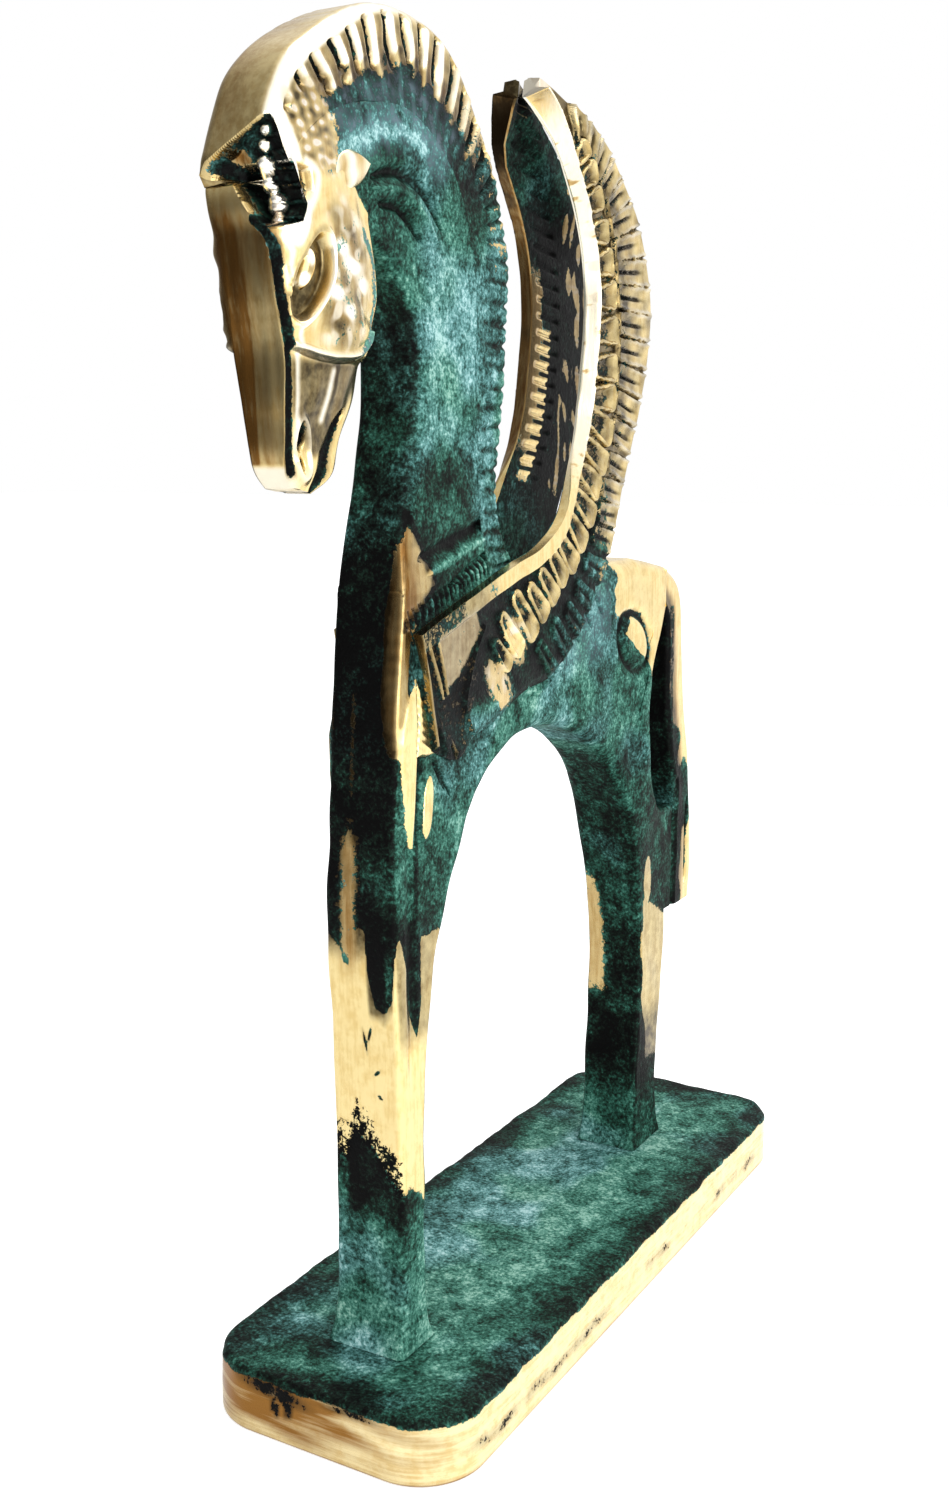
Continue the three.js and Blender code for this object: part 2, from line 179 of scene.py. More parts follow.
def bronzeMaterial(name, look):
    material = bpy.data.materials.new(name)
    material.use_nodes = True
    net = Net(material.node_tree)
    place = net.node("ShaderNodeTexCoord", out="Object")

    def grain(size, detail=3.0, rough=0.6, shift=0.0, stretch=(1, 1, 1)):
        inputs = {"Vector": place, "Location": (shift, shift * 0.7, -shift), "Scale": stretch}
        moved = net.node("ShaderNodeMapping", None, inputs)
        values = {"Vector": moved, "Scale": 1000 / size, "Detail": detail, "Roughness": rough}
        return net.node("ShaderNodeTexNoise", None, values)

    patch = grain(look["patchSize"], 2, 0.5)
    mottle = grain(look["mottleSize"], 3, 0.65, 0.11)
    speck = grain(look["speckSize"], 3, 0.7, 0.23)
    brush = grain(0.5, 3, 0.6, 0.31, look.get("brushStretch", (1, 1, 0.08)))
    tint = grain(11, 1, 0.5, 0.41)
    wear, soot, bloom = (net.attribute(word) for word in ("wear", "soot", "bloom"))
    tan, pit, steel, pale = (net.attribute(word) for word in ("tan", "pit", "steel", "pale"))

    ragged = mottle - 0.5 + (speck - 0.5) * 0.8
    worn = net.between(0.44, 0.54, wear + ragged)
    pits = net.between(0.655, 0.69, speck * 0.45 + mottle * 0.42 + pit * 0.16) * net.between(0.02, 0.1, pit)
    worn = worn * (1 - pits)

    tone = (
        0.42 + pits * 0.5 + (patch - 0.5) * 0.8 + (mottle - 0.5) + (speck - 0.5) * 1.35 + soot * 0.62 - bloom * 0.34
    )
    teal = net.node("ShaderNodeValToRGB", {"stops": look["patinaStops"]}, {0: tone})
    green = net.node("ShaderNodeValToRGB", {"stops": look["greenStops"]}, {0: tone})
    greenShare = net.between(0.42, 0.60, tint + net.attribute("green") * 0.3)
    patina = net.blendColour(greenShare, teal, green)
    patina = net.blendColour(steel * net.between(0.42, 0.60, mottle * 0.5 + speck * 0.5), patina, look["steel"])

    deep = net.between(0.42, 0.64, brush * 0.5 + mottle * 0.5)
    brass = net.blendColour(deep * 0.6, look["brass"], look["brassDeep"])
    # the near-white mix is painted highlight, the brown mix is tarnish and painted reflection, the dark mix is soot and
    # painted shade
    brass = net.blendColour(pale, brass, look["pale"])
    brass = net.blendColour((tan + (brush - 0.5) * tan * 1.2).least(1.0).most(0.0), brass, look["tarnishAndReflection"])
    brass = net.blendColour((soot * 1.15 - 0.12 + (mottle - 0.5) * soot).least(0.93).most(0.0), brass, look["dark"])
    colour = net.blendColour(worn, patina, brass)

    rough = 0.62 - soot * 0.22 + (speck - 0.5) * 0.3
    polish = 0.13 + brush * 0.16 + (mottle - 0.5) * 0.1
    roughness = rough * (1 - worn) + polish * worn
    metal = worn * 0.95 + 0.01

    crust = (speck * 0.6 + mottle * 0.8) * (1 - worn) + worn * (0.95 + brush * 0.06)
    bump = net.node("ShaderNodeBump", None, {"Strength": 0.55, "Distance": 0.00022, "Height": crust})
    inputs = {"Base Color": colour, "Metallic": metal, "Roughness": roughness, "Normal": bump,
            "Specular IOR Level": 0.05}
    surface = net.node("ShaderNodeBsdfPrincipled", None, inputs)
    net.node("ShaderNodeOutputMaterial", None, {"Surface": surface})
    return material


finish = bronzeMaterial("agedBronze", bronze)
plateFinish = bronzeMaterial(
    "agedBronzePlate", {**bronze, "brass": (0.93, 0.80, 0.46, 1), "brushStretch": (0.07, 0.07, 1.2)}
)
print("finish mixed")


# Curves and relief, as whole arrays

def alongCurve(points, places):
    # smooth curve through the points; each stretch is a cubic set by the two points before and after
    points = np.asarray(points, float)
    flat = points.ndim == 1
    points = points[:, None] if flat else points
    last = len(points) - 1
    i = np.clip(np.floor(places).astype(int), 0, last - 1)
    t = (places - i)[:, None]
    p0, p1 = points[np.maximum(i - 1, 0)], points[i]
    p2, p3 = points[i + 1], points[np.minimum(i + 2, last)]
    bend = 2 * p0 - 5 * p1 + 4 * p2 - p3
    out = 0.5 * (2 * p1 + (p2 - p0) * t + bend * t * t + (3 * p1 - p0 - 3 * p2 + p3) * t ** 3)
    return out[:, 0] if flat else out


def evenPlaces(first, second, count):
    # places along two outlines, at even steps of length along the line midway between them
    fine = np.linspace(0, len(first) - 1, 40 * (len(first) - 1) + 1)
    middle = (alongCurve(first, fine) + alongCurve(second, fine)) / 2
    run = np.r_[0, np.cumsum(np.hypot(*np.diff(middle, axis=0).T))]
    return np.interp(np.linspace(0, run[-1], count), run, fine)


def ease(low, high, value):
    # 0 below low, 1 above high, and a smooth cubic step between
    t = np.clip((value - low) / (high - low), 0, 1)
    return t * t * (3 - 2 * t)


def most(*values):
    # the greatest of several arrays, point by point
    return reduce(np.maximum, values)


def lineDistance(y, z, points, steps=6):
    # shortest distance to a smooth line through the points, and how far along it that is, 0 to 1
    points = alongCurve(points, np.linspace(0, len(points) - 1, steps * (len(points) - 1) + 1))
    best = np.full(np.shape(y), 1e9)
    where = np.zeros(np.shape(y))
    for i, (a, b) in enumerate(zip(points[:-1], points[1:])):
        d = b - a
        t = np.clip(((y - a[0]) * d[0] + (z - a[1]) * d[1]) / max(d @ d, 1e-9), 0, 1)
        gap = np.hypot(y - a[0] - t * d[0], z - a[1] - t * d[1])
        where = np.where(gap < best, (i + t) / (len(points) - 1), where)
        best = np.minimum(best, gap)
    return best, where


def stroke(y, z, points, width, sharp=0.0):
    # 1 along a line, falling smoothly to 0 at width from it
    gap, _ = lineDistance(y, z, points)
    return 1 - ease(sharp * width, width, gap)


def taperStroke(y, z, points, width):
    # a stroke that narrows to nothing at both ends
    gap, where = lineDistance(y, z, points)
    local = width * np.sqrt(np.clip(4 * where * (1 - where), 0.02, 1))
    return 1 - ease(0, 1, gap / local)


def oval(y, z, middle, radii, turn=0.0):
    # distance from the middle of an ellipse in units of its own radius, so 1 is on its rim
    c, s = np.cos(np.radians(turn)), np.sin(np.radians(turn))
    dy, dz = y - middle[0], z - middle[1]
    return np.hypot((dy * c + dz * s) / radii[0], (dz * c - dy * s) / radii[1])


def blot(y, z, middle, radii, turn=0.0, soft=0.35):
    # 1 inside an ellipse, falling smoothly to 0 just outside it
    return 1 - ease(1 - soft, 1 + soft, oval(y, z, middle, radii, turn))


def inside(y, z, corners, soft=0.6):
    # 1 inside a convex polygon given anticlockwise, with a soft edge
    value = np.full(np.shape(y), 1e9)
    for a, b in zip(corners, corners[1:] + corners[:1]):
        dy, dz = b[0] - a[0], b[1] - a[1]
        length = np.hypot(dy, dz)
        value = np.minimum(value, (dy * (z - a[1]) - dz * (y - a[0])) / length)
    return ease(-soft, soft, value)


def ripple(x, y, z, size, seed):
    # gentle unevenness of a hand-finished casting: seven sine waves in fixed random directions, -1 to 1
    dice = np.random.default_rng(seed)
    total = np.zeros(np.broadcast(x, y, z).shape)
    for _ in range(7):
        d = dice.normal(size=3)
        d *= 2 * np.pi / (size * np.linalg.norm(d)) * dice.uniform(0.7, 1.4)
        total += np.sin(d[0] * x + d[1] * y + d[2] * z + dice.uniform(0, 6.3))
    return total / 4


# Meshes

marks = ("wear", "soot", "bloom", "tan", "pale", "pit", "steel", "green")


def makePiece(name, node, shells, material=finish):
    # one object from closed tubes: each is a grid of rings, closed round and capped at both ends
    points, quads, triangles, values = [], [], [], {word: [] for word in marks}
    base = 0
    for shell in shells:
        x, y, z = shell["x"], shell["y"], shell["z"]
        rows, size = x.shape
        grid = np.stack([x, y, z + plateTop], -1) * toMetres
        ends = grid[[0, -1]].mean(axis=1)
        number = base + np.arange(rows * size).reshape(rows, size)
        right = np.roll(number, -1, axis=1)
        quad = np.stack([number[:-1], right[:-1], right[1:], number[1:]], -1).reshape(-1, 4)
        first, last = base + rows * size, base + rows * size + 1
        full = np.full(size, first)
        capA = np.stack([full, right[0], number[0]], -1)
        capB = np.stack([full + 1, number[-1], right[-1]], -1)
        flat = grid.reshape(-1, 3)
        a, b, c = flat[quad[:, 0] - base], flat[quad[:, 1] - base], flat[quad[:, 2] - base]
        d = flat[quad[:, 3] - base]
        centre = flat.mean(axis=0)
        volume = np.einsum("ij,ij->", a - centre, np.cross(b - centre, c - centre))
        volume += np.einsum("ij,ij->", a - centre, np.cross(c - centre, d - centre))
        if volume < 0:
            quad, capA, capB = quad[:, ::-1], capA[:, ::-1], capB[:, ::-1]
        points += [flat, ends]
        quads.append(quad)
        triangles += [capA, capB]
        for word in marks:
            value = np.broadcast_to(shell.get(word, 0.0), x.shape)
            values[word].append(np.r_[value.reshape(-1), value[0].mean(), value[-1].mean()])
        base = last + 1
    points = np.concatenate(points)
    quads, triangles = np.concatenate(quads), np.concatenate(triangles)
    corners = np.r_[quads.reshape(-1), triangles.reshape(-1)].astype(np.int32)
    starts = np.r_[np.arange(len(quads)) * 4, len(quads) * 4 + np.arange(len(triangles)) * 3]
    mesh = bpy.data.meshes.new(name)
    mesh.vertices.add(len(points))
    mesh.vertices.foreach_set("co", points.reshape(-1).astype(np.float32))
    mesh.loops.add(len(corners))
    mesh.loops.foreach_set("vertex_index", corners)
    mesh.polygons.add(len(starts))
    mesh.polygons.foreach_set("loop_start", starts.astype(np.int32))
    mesh.update(calc_edges=True)
    mesh.polygons.foreach_set("use_smooth", np.ones(len(starts), bool))
    for word in marks:
        layer = mesh.attributes.new(word, "FLOAT", "POINT")
        layer.data.foreach_set("value", np.concatenate(values[word]).astype(np.float32))
    mesh.validate()
    mesh.set_sharp_from_angle(angle=np.radians(62))
    mesh.materials.append(material)
    piece = bpy.data.objects.new(name, mesh)
    bpy.context.scene.collection.objects.link(piece)
    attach(piece, "root")
    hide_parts(node)
    print(name, len(quads) * 2 + len(triangles), "triangles")
    return piece


def findFacing(grid):
    # how far each point faces sideways, forwards and backwards, from the differences between neighbours
    spot = np.stack([grid["x"], grid["y"], grid["z"]], -1)
    around = np.roll(spot, -1, axis=1) - np.roll(spot, 1, axis=1)
    normal = np.cross(np.gradient(spot, axis=0), around)
    normal /= np.maximum(np.linalg.norm(normal, axis=-1, keepdims=True), 1e-9)
    if (normal[..., 0] * spot[..., 0]).sum() < 0:
        normal = -normal
    grid["flank"] = ease(0.5, 0.9, np.abs(normal[..., 0]))
    grid["front"] = ease(0.45, 0.85, -normal[..., 1])
    grid["rear"] = ease(0.45, 0.85, normal[..., 1])


def barGrid(inner, outer, rows, innerHalf, outerHalf=None, swell=0.0, innerRound=0.7, outerRound=0.7,
            sideCount=60, edgeCount=8, bendCount=7, corners=()):
    # A bar carried along two outlines. Its section is a rounded rectangle from the inner outline to
    # the outer one and from side to side; each width is one number or one for each outline point.
    # A ring stands exactly at each outline point that is named as a corner.
    places = evenPlaces(inner, outer, rows)
    for corner in corners:
        places[np.abs(places - corner).argmin()] = corner

    def spread(value):
        if np.ndim(value) == 0:
            return np.full((rows, 1), float(value))
        return alongCurve(value, places)[:, None]

    a, b = alongCurve(inner, places), alongCurve(outer, places)
    span = np.hypot(*(b - a).T)[:, None]
    halfA = spread(innerHalf)
    halfB = halfA if outerHalf is None else spread(outerHalf)
    bulge = spread(swell)
    near = np.minimum(spread(innerRound), span * 0.4)
    far = np.minimum(spread(outerRound), span * 0.4)
    turn = np.linspace(0, np.pi / 2, bendCount)[None, :]
    step = np.linspace(0, 1, edgeCount + 1)[None, :]
    face = np.linspace(0, 1, sideCount + 2)[None, 1:-1]
    ones = np.ones((rows, 1))
    along = np.hstack([
        0 * ones * step[:, :-1], near * (1 - np.cos(turn)), near + (span - near - far) * face,
        span - far * (1 - np.cos(turn[:, ::-1])), span * np.ones_like(step[:, 1:]),
    ])
    share = along / span
    half = halfA + (halfB - halfA) * share + bulge * 4 * share * (1 - share)
    x = np.hstack([
        (half[:, :1] - near) * step[:, :-1], half[:, edgeCount:edgeCount + bendCount] - near * (1 - np.sin(turn)),
        half[:, edgeCount + bendCount:edgeCount + bendCount + sideCount],
        half[:, edgeCount + bendCount + sideCount:edgeCount + 2 * bendCount + sideCount]
        - far * (1 - np.sin(turn[:, ::-1])),
        (half[:, -1:] - far) * step[:, ::-1][:, 1:],
    ])
    weights = {
        "side": [0 * step[0, :-1], np.sin(turn[0]), np.ones(sideCount), np.sin(turn[0, ::-1]), 0 * step[0, 1:]],
        "inner": [1 + 0 * step[0, :-1], np.cos(turn[0]), np.zeros(sideCount), 0 * turn[0], 0 * step[0, 1:]],
        "outer": [0 * step[0, :-1], 0 * turn[0], np.zeros(sideCount), np.cos(turn[0, ::-1]), 1 + 0 * step[0, 1:]],
    }

    def fullRing(half, sign=1.0):
        return np.hstack([half, sign * half[:, ::-1][:, 1:-1]])

    grid = {word: fullRing(np.concatenate(parts)[None, :] * ones) for word, parts in weights.items()}
    grid["share"] = fullRing(share)
    grid["along"] = fullRing(along)
    grid["x"] = fullRing(x, -1.0)
    grid["sign"] = fullRing(np.ones_like(x), -1.0)
    grid["place"] = places[:, None] * np.ones_like(grid["x"])
    grid["span"] = span * np.ones_like(grid["x"])
    away = (b - a) / span
    grid["awayY"] = away[:, :1] * np.ones_like(grid["x"])
    grid["awayZ"] = away[:, 1:] * np.ones_like(grid["x"])
    grid["y"] = a[:, :1] + (b - a)[:, :1] * grid["share"]
    grid["z"] = a[:, 1:] + (b - a)[:, 1:] * grid["share"]
    findFacing(grid)
    return grid


def lift(grid, height):
    # moves the sides out by height where they face sideways
    grid["x"] = grid["x"] + grid["sign"] * height * grid["side"]


def push(grid, distance):
    # moves points along the section, away from the inner outline
    grid["y"] = grid["y"] + grid["awayY"] * distance
    grid["z"] = grid["z"] + grid["awayZ"] * distance


def roughen(grid, size=8, depth=0.09, seed=21):
    # uneven casting skin on every face of a bar
    wave = ripple(grid["x"], grid["y"], grid["z"], size, seed) * depth
    lift(grid, wave)
    push(grid, wave * (grid["outer"] - grid["inner"]))


# Base plate
plate = {"length": 100, "width": 33, "thickness": 7.5, "corner": 7.7, "edge": 0.9, "around": 420}


def makePlate():
    # outline: a rectangle with quarter-circle corners, drawn in towards the middle over the top and the underside
    p = plate
    edge = p["edge"]
    turn = np.linspace(0, np.pi / 2, 9)
    over = np.linspace(1, 0.0, 46)[1:-1]
    inset = np.r_[edge * (1 - np.sin(turn)), np.zeros(16), 0.45 * (1 - np.cos(turn)), 0.45 + 0 * over[::3]]
    height = np.r_[-edge * (1 - np.cos(turn)), np.linspace(-edge, -p["thickness"] + 0.45, 18)[1:-1],
                   -p["thickness"] + 0.45 * (1 - np.sin(turn)), -p["thickness"] + 0 * over[::3]]
    scale = np.r_[np.ones(34), over[::3]]
    inset, height, scale = np.r_[edge + 0 * over[::-1], inset], np.r_[0 * over, height], np.r_[over[::-1], scale]
    # even steps round the outline
    x, y = p["width"] / 2 - p["corner"], p["length"] / 2 - p["corner"]
    lengths = np.array([2 * y, p["corner"] * np.pi / 2, 2 * x, p["corner"] * np.pi / 2] * 2)
    starts = np.r_[0, np.cumsum(lengths)]
    s = np.linspace(0, starts[-1], p["around"], endpoint=False)
    which = np.clip(np.searchsorted(starts, s, side="right") - 1, 0, 7)
    part = (s - starts[which]) / lengths[which]
    quarter = which // 2
    bend = which % 2 == 1
    angle = quarter * np.pi / 2 + np.where(bend, part * np.pi / 2, 0)
    middleX = np.choose(quarter, [x, -x, -x, x])
    middleY = np.choose(quarter, [y, y, -y, -y])
    backX, backY = np.choose(quarter, [x, x, -x, -x]), np.choose(quarter, [-y, y, y, -y])
    middleX = np.where(bend, middleX, backX + (middleX - backX) * part)
    middleY = np.where(bend, middleY, backY + (middleY - backY) * part)
    reach = (p["corner"] - inset)[:, None]
    gridX = (middleX + reach * np.cos(angle)) * scale[:, None]
    gridY = (middleY + reach * np.sin(angle)) * scale[:, None]
    gridZ = height[:, None] + np.zeros_like(gridX)
    top = ease(-1.2, -0.3, gridZ)
    side = 1 - ease(0.3, 1.2, gridZ + 1.2)
    wave = ripple(gridX, gridY, gridZ, 16, 3) * 0.14 + ripple(gridX, gridY, gridZ, 5, 4) * 0.06
    gridZ = gridZ + top * wave - 0.12 * top
    chip = ripple(gridX, gridY, 0 * gridZ, 3.1, 5) * 0.10 + ripple(gridX, gridY, 0 * gridZ, 9, 6) * 0.10 - 0.12
    rimmed = ease(0.93, 1.0, scale)[:, None] * ease(-5, 0, height)[:, None]
    gridX = gridX + np.cos(angle) * chip * rimmed
    gridY = gridY + np.sin(angle) * chip * rimmed
    # marks: brass on the sides, patina on top, darker towards its edges, verdigris pools round the feet, and painted
    # shadow round the fore foot
    fromEdge = np.minimum(p["width"] / 2 - np.abs(gridX), p["length"] / 2 - np.abs(gridY))
    raggedEdge = 0.5 * ripple(gridX, gridY, gridZ, 6, 8)
    wear = side * ease(-0.2, 0.9, -gridZ - 0.5 + raggedEdge * 0.6)
    wear = np.where(height[:, None] < -p["thickness"] + 0.2, 0.75, wear)
    soot = top * (1 - ease(-0.5, 6.0, fromEdge + 2.0 * ripple(gridX, gridY, 0, 9, 9))) * 0.62
    feet = blot(gridX, gridY, (4, -35), (6, 8)) + blot(gridX, gridY, (3, 27), (6, 8))
    bloom = top * (0.36 * ease(5, 11, fromEdge) + 0.15 * np.clip(feet, 0, 1))
    # painted shadow on the top of the plate round the fore foot
    foot = np.maximum(np.abs(gridX) - 5, np.abs(gridY + 37) - 4)
    soot = np.maximum(soot, top * 0.36 * ease(4.5, 0.5, foot + 1.2 * ripple(gridX, gridY, 0, 5, 15)))
    # darker brushed brass at the front left, painted as shade on the front face with brushed streaks, dark chips under
    # its edge, and a row of small pits along the near side
    faceFront = ease(0.3, 0.9, -np.sin(angle) + 0 * gridX)
    leftPart = ease(12, -4, gridX)
    streaks = ripple(0.3 * gridX, 0, 1.6 * gridZ, 2.6, 10)
    sideBrownAndShade = (
        side * faceFront * (leftPart * (0.74 + 0.40 * streaks) + 0.30 + 0.20 * streaks)
        * (0.35 + 0.65 * ease(-7.4, -4, gridZ))
    )
    chips = (
        blot(gridX, gridZ, (-5.6, -1.5), (4.6, 1.0), -6, 0.8)
        + 0.8 * blot(gridX, gridZ, (4.5, -1.1), (3.6, 0.5), 0, 0.7)
    )
    chips = (
        faceFront * np.clip(chips + blot(gridX, gridZ, (-5.2, -3.6), (0.5, 1.0), 20)
            + blot(gridX, gridZ, (-3.4, -3.2), (0.5, 1.2), -10), 0, 1)
    )
    nearSide = ease(0.8, 0.95, np.cos(angle) + 0 * gridX)
    row = (
        nearSide * np.exp(-((gridZ + 4.6 + 0.5 * ripple(0, gridY, 0, 9, 13)) / 1.0) ** 2)
        * ease(-0.6, 0.6, ripple(0, gridY, 0, 7, 14) + 0.3)
    )
    pit = side * (0.12 + 1.2 * row) + 1.8 * chips * side
    soot = np.maximum(soot, side * np.maximum(0.9 * chips, 0.5 * row))
    sideBrownAndShade = np.maximum(sideBrownAndShade, side * ease(-6.9, -7.3, gridZ) * 0.8)
    shell = {"x": gridX, "y": gridY, "z": gridZ, "wear": wear, "soot": soot, "bloom": bloom, "pit": pit,
             "green": 0.25, "tan": 0.04 * side + sideBrownAndShade}
    return makePiece("basePlate", "base_plate", [shell], plateFinish)


makePlate()


# Finish of the body: one set of colour marks for all its members, so that no seam shows
body = {
    "throatLine": [(84, -38.4), (92, -37.6), (98, -36.0), (106, -34.4), (113, -35.6), (120, -39.6)],
    # heights where the brass of the shin begins and ends, across its front and along its side
    "shinAcross": [-4.6, -2.6, -2.2, -1.5, -1.2, 0.5, 0.8, 1.6, 2.7, 3.8, 4.3],
    "shinTopFront": [47.5, 46.8, 44.9, 44.9, 48.5, 48.5, 44, 40.4, 39.4, 41, 46],
    "shinLowFront": [22.5, 22.0, 23.8, 25.2, 24.9, 23.6, 23.2, 21.8, 21.0, 19.6, 18.6],
    "shinBehind": [0, 0.9, 1.9, 2.3, 3.2, 4.4, 5.0, 6],
    "shinTopSide": [46, 48.3, 44, 39.5, 36.5, 40, 47.7, 47.7],
    "shinLowSide": [18.4, 17.6, 17, 16.7, 16.3, 16, 15.8, 15.6],
}


def bodyMarks(g):
    # x is the near side; heights are those of the figure. Each mark is a sum of soft patches.
    x, y, z = g["x"], g["y"], g["z"]
    flank, front, rear = g["flank"], g["front"], g["rear"]
    fore = ease(-19, -24, y)
    frontLine = np.interp(z, [57, 65, 73, 84.5, 90, 96], [-40, -39.5, -38.9, -37.6, -37, -35.6])
    front = np.maximum(front, fore * ease(0.9, 0.5, y - frontLine) * ease(82, 83, z) * ease(87, 86, z))
    flank = np.maximum(flank, (1 - front) * ease(82, 83, z) * ease(87, 86, z) * (np.abs(x) > 3))
    wavy = ripple(x, y, z, 6, 31)
    foreSide = fore * flank

    # polished shin of the fore leg, with ragged ends; tongues of patina reach down into it
    fromFront = y + 39.6 + 0.10 * (z - 40)
    across, behind = body["shinAcross"], body["shinBehind"]
    topFront, lowFront = np.interp(x, across, body["shinTopFront"]), np.interp(x, across, body["shinLowFront"])
    topSide = np.interp(fromFront, behind, body["shinTopSide"])
    lowSide = np.interp(fromFront, behind, body["shinLowSide"])
    shareFront = ease(0.25, 0.75, front)
    top = topSide + (topFront - topSide) * shareFront + 0.6 * wavy
    low = lowSide + (lowFront - lowSide) * shareFront + 0.9 * wavy
    shin = ease(-1.6, 2.0, z - low) * ease(-0.8, 0.8, top - z) * fore
    nicks = 0 * x
    for across0, height, tall, lean in ((0.0, 36.0, 1.3, 12), (0.6, 36.8, 0.9, -14), (1.5, 32.6, 0.5, -50),
            (1.8, 29.8, 0.4, 50)):
        nicks = np.maximum(nicks, front * blot(x, z, (across0, height), (0.2, tall), lean, 0.9))
    streak = front * fore * np.exp(-((x + 1.5) / 1.5) ** 2) * ease(42, 47, z) * ease(64, 56, z)
    glint = front * fore * np.exp(-((x + 1.3) / 0.45) ** 2) * ease(60, 64, z) * ease(76, 72, z)
    glint = glint + 0.8 * front * fore * np.exp(-((x + 4.0) / 0.5) ** 2) * ease(64, 68, z) * ease(80, 74, z)
    gleam = (
        fore * ease(0.8, 3.8, x - 0.05 * np.abs(z - 76)) * ease(1.9, 0.9, y - frontLine) * ease(64, 73, z)
        * ease(97, 82, z)
    )
    spread = (
        inside(y, z, [(-38.2, 81), (-34.5, 83), (-32.2, 85), (-34.2, 88.5), (-37.2, 93), (-38, 90)], 1.1) * foreSide
        * (x > 3)
    )
    gleam = np.maximum(gleam, spread * (0.8 + 0.2 * wavy))
    wear = np.maximum(shin * (1 - 0.9 * nicks), 0.70 * streak)
    wear = np.maximum(wear, np.maximum(0.50 * glint, ease(0.10, 0.55, gleam + 0.10 * wavy)))
    tan = 0.70 * streak + 0.5 * glint + (0.72 - 0.42 * ease(3.7, 4.1, x)) * (gleam > 0.02)

    # dark marks: painted shade down the front of the chest and throat, whose faces turn away from the lamps; darker
    # below the shin's brass and in the hollow of the flank
    soot = fore * front * ease(44, 48, z) * (0.95 - 0.42 * ease(82, 90, z) - 0.08 * ease(104, 112, z))
    soot = (
        soot * (1 - 0.35 * blot(x, z, (2.4, 53), (2.2, 7), 0, 0.8) * front) * (1 - 0.70 * ease(0.4, 1, streak))
        * (1 - (0.58 + 0.16 * ripple(0.2 * x, 0, z, 1.1, 36)) * ease(0.25, 1.0, gleam))
    )
    soot = most(
        soot,
        fore * ease(13, 18, z) * ease(1, -1, z - low) * (0.55 + 0.40 * front) * (1 - 0.6 * front * ease(-2.2, -3, x)),
        0.6 * fore * ease(2.6, 0, np.abs(top - z)) * front * ease(0.6, 1.2, x),
        0.85 * fore * front * ease(0.4, 1.0, x) * ease(3.3, 2.7, x) * ease(58, 50, z) * ease(38, 40, z),
        (0.34 + 0.2 * wavy) * gleam * ease(3.9, 4.2, x),
        (spread > 0.02) * (0.95 - 0.62 * ease(0.2, 0.95, spread) + 0.16 * ripple(x, y, z, 2, 69)),
        foreSide * ease(33, 38, z) * ease(56, 46, z) * 0.6,
        foreSide * ease(40, 48, z) * ease(66, 60, z) * 0.22,
    )
    # painted shade along the near side of the throat, where the neck rounds towards the front
    heights, places = zip(*body["throatLine"])
    throat = foreSide * ease(-1.4, 1.6, np.interp(z, heights, places) - y + 0.8 * wavy) * ease(80, 88, z)
    throat = throat * ease(123, 116, z)
    soot = most(
        soot,
        0.66 * throat,
        0.30 * foreSide * ease(112, 120, z),
        (0.40 + 0.10 * wavy) * foreSide * ease(60, 70, z) * ease(104, 90, z),
    )

    soot = most(
        soot,
        0.7 * nicks * fore * ease(24, 27, z),
        0.65 * foreSide * stroke(y, z, [(-35.4, 64), (-35.9, 54), (-36.5, 46)], 0.8),
        foreSide * ease(103, 95, z) * ease(84, 90, z) * (0.22 + 0.22 * ripple(x, y, z, 3.4, 66)),
    )

    # hindquarter and hind leg: painted shade down the inside of the arch, and darker above the foot
    hind = ease(4, 12, y)
    hindSide = hind * flank
    soot = most(
        soot,
        hind * front * (0.50 + 0.10 * wavy + 0.30 * ease(24, 17, z)) * ease(6, 14, z),
        hindSide * (0.20 + 0.06 * wavy + 0.26 * ease(62, 44, z) + 0.36 * ease(22, 17, z) * ease(7, 12, z)),
        hindSide * 0.55 * stroke(y, z, [(9, 60), (15, 52), (18.4, 44)], 4.2),
    )
    edge = 24.4 + 0.06 * (33.5 - z) + 0.9 * wavy
    hock = hindSide * ease(-0.6, 0.8, y - edge) * ease(10, 15, z) * ease(37.5, 35.0, z + 0.55 * (y - 26))
    hock = most(
        hock,
        hindSide * blot(y, z, (25.6, 39.3), (1.2, 3.6), 6),
        0.85 * hind * rear * ease(12, 18, z) * ease(34, 33, z),
    )
    strip = hind * front * ease(19, 25, z) * ease(44, 39, z + 1.2 * x + 5.5) * ease(-0.6, -2.4, x + 0.05 * (z - 30))
    hock = np.maximum(hock, 0.8 * strip)
    tan = tan + 0.5 * strip
    soot = soot * (1 - 0.8 * strip)
    wear = np.maximum(wear, hock)

    # rump: brass from the loin over the dock, with a soft lower edge
    rough = 0.5 * ripple(0, y, z, 2.4, 61)
    rump = inside(y + rough, z, [(13.4, 77.4), (30, 77.4), (30, 90), (13.4, 90)], 0.9)
    rump = hind * np.maximum(rump, inside(y, z, [(23.7, 68.6), (30, 68), (30, 90), (20.5, 78.4)], 0.4))
    wear = np.maximum(wear, rump * (1 - front))
